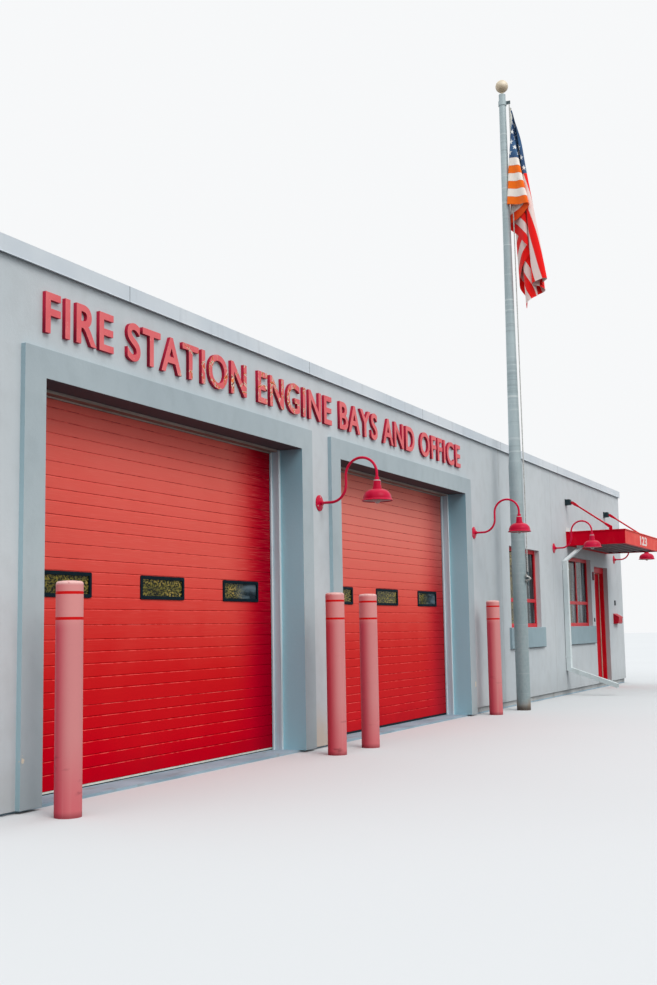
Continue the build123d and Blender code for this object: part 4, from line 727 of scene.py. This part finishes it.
def flag_weave():
    """Woven nylon: stripes with painted sunlight, orange and bright near the hoist and redder farther out,
    a blue canton of fifty stars and a canvas heading.
    """
    finish = Finish("flag_nylon", roughness=0.7, Specular_IOR_Level=0.1, Sheen_Weight=0.15)
    cut = finish.add("ShaderNodeUVMap", uv_map=CUT_MAP).outputs[0]
    across, down = (finish.add("ShaderNodeSeparateXYZ", {0: cut}).outputs[name] for name in "XY")
    stripe = finish.math("MODULO", finish.math("FLOOR", finish.times(down, STRIPES)), 2.0)
    clouds = finish.add("ShaderNodeTexNoise", {"Vector": cut, "Scale": 5.0, "Detail": 4.0}).outputs[0]
    # painted sunlight: stripes orange and white brighter near the hoist, duller farther out
    away = finish.span(finish.math("MULTIPLY_ADD", clouds, 0.3, across), 0.20, 0.62)
    red = finish.mix(away, colour(255, 118, 26), colour(250, 24, 22))
    white = finish.mix(away, colour(250, 240, 230), colour(244, 218, 212))
    tint = finish.mix(stripe, red, white)
    blue = finish.mix(finish.span(clouds, 0.35, 0.65), colour(72, 108, 148), colour(52, 78, 116))
    stars = star_share(finish, finish.times(across, 12 / CANTON_FLY),
                       finish.times(down, 10 / CANTON_HOIST))
    canton = finish.times(finish.math("LESS_THAN", across, CANTON_FLY),
                         finish.math("LESS_THAN", down, CANTON_HOIST))
    tint = finish.mix(canton, tint, finish.mix(stars, blue, colour(238, 238, 236)))
    seam = finish.math("FRACT", finish.times(down, STRIPES))
    stitch = finish.math("LESS_THAN", seam, 0.05)
    plain = finish.rest(canton)
    tint = finish.mix(finish.times(finish.times(stitch, plain), 0.3), tint,
                      colour(150, 60, 50))
    tint = finish.mix(finish.math("LESS_THAN", across, 0.02), tint, colour(228, 226, 216))
    metres = finish.cut_metres(FLAG_FLY, FLAG_HOIST)
    weave = finish.add("ShaderNodeTexNoise", {"Vector": metres, "Scale": 420.0, "Detail": 2.0}).outputs[0]
    return finish.done(tint, finish.bump(weave, 0.0006, 0.5, finish.bump(stitch, 0.001, 0.5)))


def dress(material, *names):
    """Gives carried-over nodes their material."""
    for name in names:
        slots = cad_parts[name].data.materials
        slots.clear()
        slots.append(material)


def dress_building():
    walls = ("front_left_pier", "front_centre_pier", "wall_over_bays", "office_wall", "wall_over_entry",
             "front_right_pier", "left_wall", "right_wall", "back_wall")
    dress(wall_stucco(), *walls)
    dress(blue_stucco(), "bay_surround_1", "bay_surround_2")
    dress(panel_stucco(), "sill_panels")
    dress(concrete("slab_concrete", colour(166, 190, 203), colour(136, 160, 174)), "floor_slab")
    dress(concrete("concrete_grey", colour(188, 190, 190), colour(156, 160, 162)), "front_foundation",
          "right_foundation", "entry_sill")
    dress(roofing(), "roof_deck")
    dress(coping_metal(), "coping_front", "coping_right", "coping_back", "coping_left")
    dress(jamb_metal(), "bay_jamb_trims")
    dress(head_metal(), "bay_head_trims")
    dress(bay_door_red(), "bay_door_1", "bay_door_2")
    dress(rubber("black_gasket", colour(0, 22, 32), colour(16, 42, 52)), "bay_window_frames")
    dress(bottom_seal(), "bay_bottom_seals")
    dress(bay_glass(), "bay_window_glass")
    dress(office_glass(), "window_glass")


def dress_office():
    dress(paint("frame_paint", colour(208, 30, 42), colour(190, 20, 38), colour(218, 100, 96)),
          "front_window_frames", "back_window_frames")
    dress(paint("leaf_paint", colour(206, 16, 36), colour(188, 8, 30), colour(214, 76, 74), 0.4, 0.06),
          "entry_door_leaf", "entry_frame")
    dress(rubber("weather_strip", colour(220, 208, 190), colour(176, 164, 148)), "entry_weatherstrip")
    dress(hardware("brushed_steel", colour(186, 186, 184), 0.3), "entry_door_lever", "frame_hinge_halves",
          "door_hinge_halves")
    dress(hardware("rod_steel", colour(140, 140, 140), 0.4), "curtain_rods")
    dress(canopy_paint(), "canopy_frame")
    dress(paint("flashing_paint", colour(214, 216, 214), colour(200, 204, 204), colour(150, 150, 146)),
          "canopy_flashing")
    # painted shade: the deck is a dark maroon, far darker than the canopy's red steel, for the shade under
    # the canopy
    dress(paint("deck_paint", colour(70, 26, 36), colour(50, 20, 30), colour(96, 60, 62), 0.55),
          "canopy_deck")
    dress(paint("rod_paint", colour(216, 14, 46), colour(200, 6, 40), colour(214, 84, 84), 0.4, 0.04),
          "hanger_rods")
    dress(cast_black(), "hanger_brackets")
    dress(paint("pipe_paint", colour(220, 229, 230), colour(206, 217, 219), colour(164, 172, 170), 0.42,
                0.25), "downspout")
    dress(paint("box_paint", colour(200, 22, 44), colour(180, 12, 38), colour(210, 90, 90)), "mailbox")
    dress(plastic("maroon_plastic", colour(112, 14, 34), colour(136, 30, 46)), "alarm_box")
    dress(plastic("black_plastic", colour(20, 30, 36), colour(46, 56, 62)), "doorbell", "entry_keypad")


def dress_fixtures():
    dress(paint("lamp_tube_paint", colour(214, 18, 66), colour(198, 8, 54), colour(226, 90, 112), 0.34,
                0.14, 0.2), "lamp_arms")
    dress(lamp_enamel(), "lamp_shades")
    dress(frosted_bulb(), "lamp_bulbs")
    dress(bollard_plastic(), "bollards")
    dress(galvanised(), "flagpole")
    dress(worn_gilt(), "flagpole_ball")
    dress(rope(), "halyard")


def make_piece(name, mesh, body, *replaced):
    """A new piece of the scene from a finished mesh."""
    piece = bpy.data.objects.new(name, mesh)
    bpy.context.scene.collection.objects.link(piece)
    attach(piece, body)
    if replaced:
        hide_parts(*replaced)
    return piece


def grid_mesh(name, columns, rows, place):
    """A sheet of quads with its cut in a UV map; place gives the point for a share across and down."""
    points = [place(i / columns, j / rows) for j in range(rows + 1) for i in range(columns + 1)]
    faces = [(j * (columns + 1) + i, j * (columns + 1) + i + 1, (j + 1) * (columns + 1) + i + 1,
              (j + 1) * (columns + 1) + i) for j in range(rows) for i in range(columns)]
    mesh = bpy.data.meshes.new(name)
    mesh.from_pydata(points, [], faces)
    layer = mesh.uv_layers.new(name=CUT_MAP)
    for loop in mesh.loops:
        row, column = divmod(loop.vertex_index, columns + 1)
        layer.data[loop.index].uv = (column / columns, row / rows)
    for face in mesh.polygons:
        face.use_smooth = True
    return mesh


def baked(piece):
    """The piece's mesh with its modifiers worked in."""
    view = bpy.context.evaluated_depsgraph_get()
    mesh = bpy.data.meshes.new_from_object(piece.evaluated_get(view), preserve_all_data_layers=True,
                                           depsgraph=view)
    piece.modifiers.clear()
    old, piece.data = piece.data, mesh
    bpy.data.meshes.remove(old)
    mesh.name = piece.name


def flag_place(across, down):
    """The flag held straight out from its hoist, with slight ripples that start its folds."""
    out = across * FLAG_FLY
    ripple = FLAG_RIPPLE * min(across * 4, 1) * math.sin(out * FLAG_WAVES + down * FLAG_SKEW)
    return FLAG_TOP + FLAG_OUT * out + FLAG_SIDE * ripple - Vector((0, 0, down * FLAG_HOIST))


def make_flag():
    """The flag let fall from its hoist by cloth simulation, in a light air from the building."""
    mesh = grid_mesh("flag_cloth", FLAG_COLUMNS, FLAG_ROWS, flag_place)
    mesh.materials.append(flag_weave())
    flag = make_piece("flag_cloth", mesh, "building", "flag")
    hoist = flag.vertex_groups.new(name="hoist")
    hoist.add([row * (FLAG_COLUMNS + 1) for row in range(FLAG_ROWS + 1)], 1.0, "REPLACE")
    cloth = flag.modifiers.new("fall", "CLOTH")
    settings = cloth.settings
    settings.quality = 6
    settings.mass = 0.2
    settings.tension_stiffness = settings.compression_stiffness = 12
    settings.shear_stiffness = 4
    settings.bending_stiffness = 0.12
    settings.air_damping = 2.5
    settings.vertex_group_mass = "hoist"
    cloth.collision_settings.use_self_collision = True
    cloth.collision_settings.self_distance_min = 0.006
    cloth.point_cache.frame_start, cloth.point_cache.frame_end = 1, FLAG_FRAMES
    scene = bpy.context.scene
    scene.gravity = FLAG_PULL
    for frame_number in range(1, FLAG_FRAMES + 1):
        scene.frame_set(frame_number)
    baked(flag)
    smooth = flag.modifiers.new("smooth", "SUBSURF")
    smooth.levels = smooth.render_levels = 1


def curve_mesh(name, curve):
    """The mesh of a curve or of a line of words."""
    holder = bpy.data.objects.new(name, curve)
    bpy.context.scene.collection.objects.link(holder)
    bpy.context.view_layer.update()
    view = bpy.context.evaluated_depsgraph_get()
    mesh = bpy.data.meshes.new_from_object(holder.evaluated_get(view))
    bpy.data.objects.remove(holder)
    return mesh


def wall_text(name, words, depth, left, right, foot_z, height, face_y, weight=0.0, spacing=1.0):
    """Raised characters filling left..right and height, standing depth proud of a wall at face_y."""
    curve = bpy.data.curves.new(name, "FONT")
    curve.body = words
    curve.extrude = depth / 2
    curve.offset = weight
    curve.space_character = spacing
    mesh = curve_mesh(name, curve)
    low = [min(v.co[axis] for v in mesh.vertices) for axis in range(3)]
    high = [max(v.co[axis] for v in mesh.vertices) for axis in range(3)]
    across = (right - left) / (high[0] - low[0])
    up = height / (high[1] - low[1])
    for vertex in mesh.vertices:
        x, y, z = vertex.co
        vertex.co = (left + (x - low[0]) * across, face_y - (z - low[2]), foot_z + (y - low[1]) * up)
    mesh.materials.clear()
    mesh.name = name
    return make_piece(name, mesh, "building")


def make_sign():
    """Bold capitals in one line over the bays."""
    sign = wall_text("sign_letters", SIGN_WORDS, SIGN_DEPTH, SIGN_LEFT, SIGN_RIGHT, SIGN_FOOT_Z, SIGN_H,
                     FACADE_Y, SIGN_WEIGHT, SIGN_SPACING)
    sign.data.materials.append(sign_paint())


def make_number():
    """White numerals on the canopy's front."""
    face_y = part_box("canopy_frame")[0].y + CANOPY_LIP
    number = wall_text("canopy_number", NUMBER, NUMBER_DEPTH, NUMBER_LEFT, NUMBER_RIGHT, NUMBER_FOOT_Z,
                       NUMBER_H, face_y, 0.03)
    number.data.materials.append(paint("number_paint", colour(240, 226, 220), colour(232, 214, 208),
                                       colour(226, 150, 140)))


def tube(name, points, radius, closed=False):
    """A round bar or rope along a smooth curve, as a mesh."""
    curve = bpy.data.curves.new(name, "CURVE")
    curve.dimensions = "3D"
    curve.bevel_depth = radius
    curve.bevel_resolution = 3
    curve.use_fill_caps = not closed
    spline = curve.splines.new("NURBS")
    spline.points.add(len(points) - 1)
    for point, place in zip(spline.points, points):
        point.co = (*place, 1)
    spline.order_u = 3
    spline.use_endpoint_u = not closed
    spline.use_cyclic_u = closed
    spline.resolution_u = 4
    return curve_mesh(name, curve)


def joined(name, meshes):
    """Several meshes as one."""
    whole = bmesh.new()
    for mesh in meshes:
        whole.from_mesh(mesh)
        bpy.data.meshes.remove(mesh)
    result = bpy.data.meshes.new(name)
    whole.to_mesh(result)
    whole.free()
    for face in result.polygons:
        face.use_smooth = True
    return result


def fitting(name, meshes, material):
    mesh = joined(name, meshes)
    mesh.materials.clear()
    mesh.materials.append(material)
    make_piece(name, mesh, "building")


def screw_head(centre):
    """A low domed head on a surface that looks towards the street, with a slot across it."""
    head = bmesh.new()
    bmesh.ops.create_uvsphere(head, u_segments=16, v_segments=10, radius=SCREW_R)
    for vertex in head.verts:
        x, y, z = vertex.co
        rise = max(0.0, -y) * SCREW_H / SCREW_R
        if abs(z) < SCREW_R * SLOT_HALF:
            rise *= SLOT_FLOOR
        vertex.co = (centre[0] + x, centre[1] - rise, centre[2] + z)
    mesh = bpy.data.meshes.new("screw_head")
    head.to_mesh(mesh)
    head.free()
    return mesh


def make_screws():
    """Three screws through each lamp's wall plate."""
    heads = []
    for lamp_x in LAMP_X:
        for turn in SCREW_TURNS:
            angle = math.radians(turn)
            heads.append(screw_head((lamp_x + SCREW_CIRCLE * math.cos(angle), SCREW_FACE_Y,
                                     LAMP_Z + SCREW_CIRCLE * math.sin(angle))))
    fitting("lamp_screws", heads, hardware("zinc_screw", colour(196, 190, 184), 0.35))


def make_hitch():
    """The rope's tail, made fast in figures of eight round the cleat."""
    points = []
    for step in range(HITCH_TURNS * HITCH_POINTS + 1):
        layer, angle = step / HITCH_POINTS, 2 * math.pi * step / HITCH_POINTS
        spread = CLEAT_BAR_R + ROPE_R * (1.6 + 1.9 * layer)
        points.append((POLE_AXIS.x + spread * 1.2 * math.sin(2 * angle),
                       POLE_AXIS.y - CLEAT_OUT - spread * math.cos(2 * angle),
                       CLEAT_Z + (HITCH_REACH - ROPE_R * 2.2 * layer) * math.sin(angle)))
    fitting("halyard_hitch", [tube("hitch", points, ROPE_R)], rope())


def make_snaps():
    """Rings that tie the flag's heading to the halyard."""
    rings = []
    for share in SNAP_SHARES:
        centre = FLAG_TOP + FLAG_OUT * 0.004 - Vector((0, 0, share * FLAG_HOIST))
        turn = [2 * math.pi * step / SNAP_POINTS for step in range(SNAP_POINTS)]
        points = [centre + FLAG_OUT * SNAP_R * math.cos(a) + FLAG_SIDE * SNAP_R * math.sin(a) for a in turn]
        rings.append(tube("snap", points, SNAP_WIRE_R, closed=True))
    fitting("flag_rings", rings, hardware("zinc_ring", colour(170, 172, 172), 0.4))


def make_curtain(name, left, phase, material):
    """One gathered panel hanging from its rod, its folds opening a little towards the hem."""
    middle_y = (CURTAIN_LOW.y + CURTAIN_HIGH.y) / 2

    def place(across, down):
        turn = 2 * math.pi * (CURTAIN_FOLDS * across + 0.05 * down * math.sin(9 * across + phase))
        depth = CURTAIN_FOLD_HALF * (0.85 + 0.15 * down + 0.12 * math.sin(5 * across + phase))
        inset = 0.012 * down * math.sin(2 * math.pi * across + phase)
        return (left + CURTAIN_W * across + inset, middle_y + depth * math.sin(turn),
                CURTAIN_HIGH.z - CURTAIN_H * down)

    mesh = grid_mesh(name, CURTAIN_COLUMNS, CURTAIN_ROWS, place)
    mesh.materials.append(material)
    curtain = make_piece(name, mesh, "building", "curtains")
    row = [mesh.vertices[i].co for i in range(CURTAIN_COLUMNS + 1)]
    width = sum((b - a).length for a, b in zip(row, row[1:]))


def make_curtains():
    dark = curtain_weave("curtain_dark", colour(38, 56, 68), colour(22, 36, 48), colour(84, 102, 112))
    pale = curtain_weave("curtain_pale", colour(120, 132, 142), colour(84, 98, 110), colour(120, 36, 56))
    first = CURTAIN_LOW.x
    for window in range(2):
        left = first + window * OFFICE_WINDOW_PITCH
        right = left + OFFICE_WINDOW_W - 2 * CURTAIN_SIDE_GAP - CURTAIN_W
        make_curtain(f"curtain_{window + 1}_left", left + CURTAIN_EDGE, window * 1.7, dark)
        make_curtain(f"curtain_{window + 1}_right", right + CURTAIN_EDGE, window * 1.7 + 0.8, pale)


def make_camera():
    """A camera at the photograph's viewpoint, from its heading, pitch and roll."""
    heading, pitch, roll = (math.radians(a) for a in (CAMERA_HEADING, CAMERA_PITCH, CAMERA_ROLL))
    reach = math.cos(pitch)
    ahead = Vector((reach * math.cos(heading), reach * math.sin(heading), math.sin(pitch)))
    level = Vector((math.sin(heading), -math.cos(heading), 0))
    above = level.cross(ahead)
    right = level * math.cos(roll) + above * math.sin(roll)
    up = above * math.cos(roll) - level * math.sin(roll)
    data = bpy.data.cameras.new("camera")
    data.sensor_width = SENSOR_MM
    data.lens = FOCAL_PIXELS / max(IMAGE_SIZE) * SENSOR_MM
    data.clip_start, data.clip_end = 0.1, 500
    camera = bpy.data.objects.new("camera", data)
    turn = Matrix((right, up, -ahead)).transposed().to_4x4()
    camera.matrix_world = Matrix.Translation(CAMERA_PLACE) @ turn
    bpy.context.scene.collection.objects.link(camera)
    bpy.context.scene.camera = camera


def seen_share(tree):
    """1 for what the camera sees straight, in gloss or through glass, and 0 for other light."""
    path = tree.nodes.new("ShaderNodeLightPath")
    share = path.outputs["Is Camera Ray"]
    for kind in ("Is Glossy Ray", "Is Transmission Ray"):
        either = tree.nodes.new("ShaderNodeMath")
        either.operation = "MAXIMUM"
        tree.links.new(share, either.inputs[0])
        tree.links.new(path.outputs[kind], either.inputs[1])
        share = either.outputs[0]
    return share


def make_world():
    """An even pale sky for light, and a plain white one where it is seen."""
    world = bpy.data.worlds.new("sky")
    bpy.context.scene.world = world
    world.use_nodes = True
    tree = world.node_tree
    tree.nodes.clear()
    mix = tree.nodes.new("ShaderNodeMixShader")
    tree.links.new(seen_share(tree), mix.inputs[0])
    for slot, tint, strength in ((1, SKY_TINT, SKY_LIGHT), (2, SKY_SEEN, 1.0)):
        sky = tree.nodes.new("ShaderNodeBackground")
        sky.inputs["Color"].default_value = tint
        sky.inputs["Strength"].default_value = strength
        tree.links.new(sky.outputs[0], mix.inputs[slot])
    out = tree.nodes.new("ShaderNodeOutputWorld")
    tree.links.new(mix.outputs[0], out.inputs[0])


def make_sun():
    """One broad soft light from high on the street side."""
    data = bpy.data.lights.new("soft_sun", "SUN")
    data.energy = SUN_LIGHT
    data.angle = SUN_SPREAD
    data.color = SUN_TINT
    sun = bpy.data.objects.new("soft_sun", data)
    sun.rotation_euler = Vector(SUN_TOWARDS).to_track_quat("-Z", "Y").to_euler()
    bpy.context.scene.collection.objects.link(sun)


def make_floor():
    """A wide pale floor at ground level, which throws back as little light as a dark yard."""
    mesh = bpy.data.meshes.new("studio_floor")
    corners = [(x * FLOOR_HALF, y * FLOOR_HALF, 0) for x, y in ((-1, -1), (1, -1), (1, 1), (-1, 1))]
    mesh.from_pydata(corners, [], [(0, 1, 2, 3)])
    floor = bpy.data.objects.new("studio_floor", mesh)
    finish = Finish("floor_paint", roughness=0.95, Specular_IOR_Level=0.0)
    pale = finish.mix(finish.noise(0.2, 2), colour(216, 217, 218), colour(210, 211, 212))
    finish.set("Base Color", finish.mix(seen_share(finish.tree), colour(*[FLOOR_BOUNCE] * 3), pale))
    mesh.materials.append(finish.material)
    bpy.context.scene.collection.objects.link(floor)


make_camera()
make_world()
make_sun()
make_floor()
dress_building()
dress_office()
dress_fixtures()
make_sign()
make_number()
make_curtains()
make_flag()
make_screws()
make_hitch()
make_snaps()

bpy.context.scene.view_settings.view_transform = "Standard"
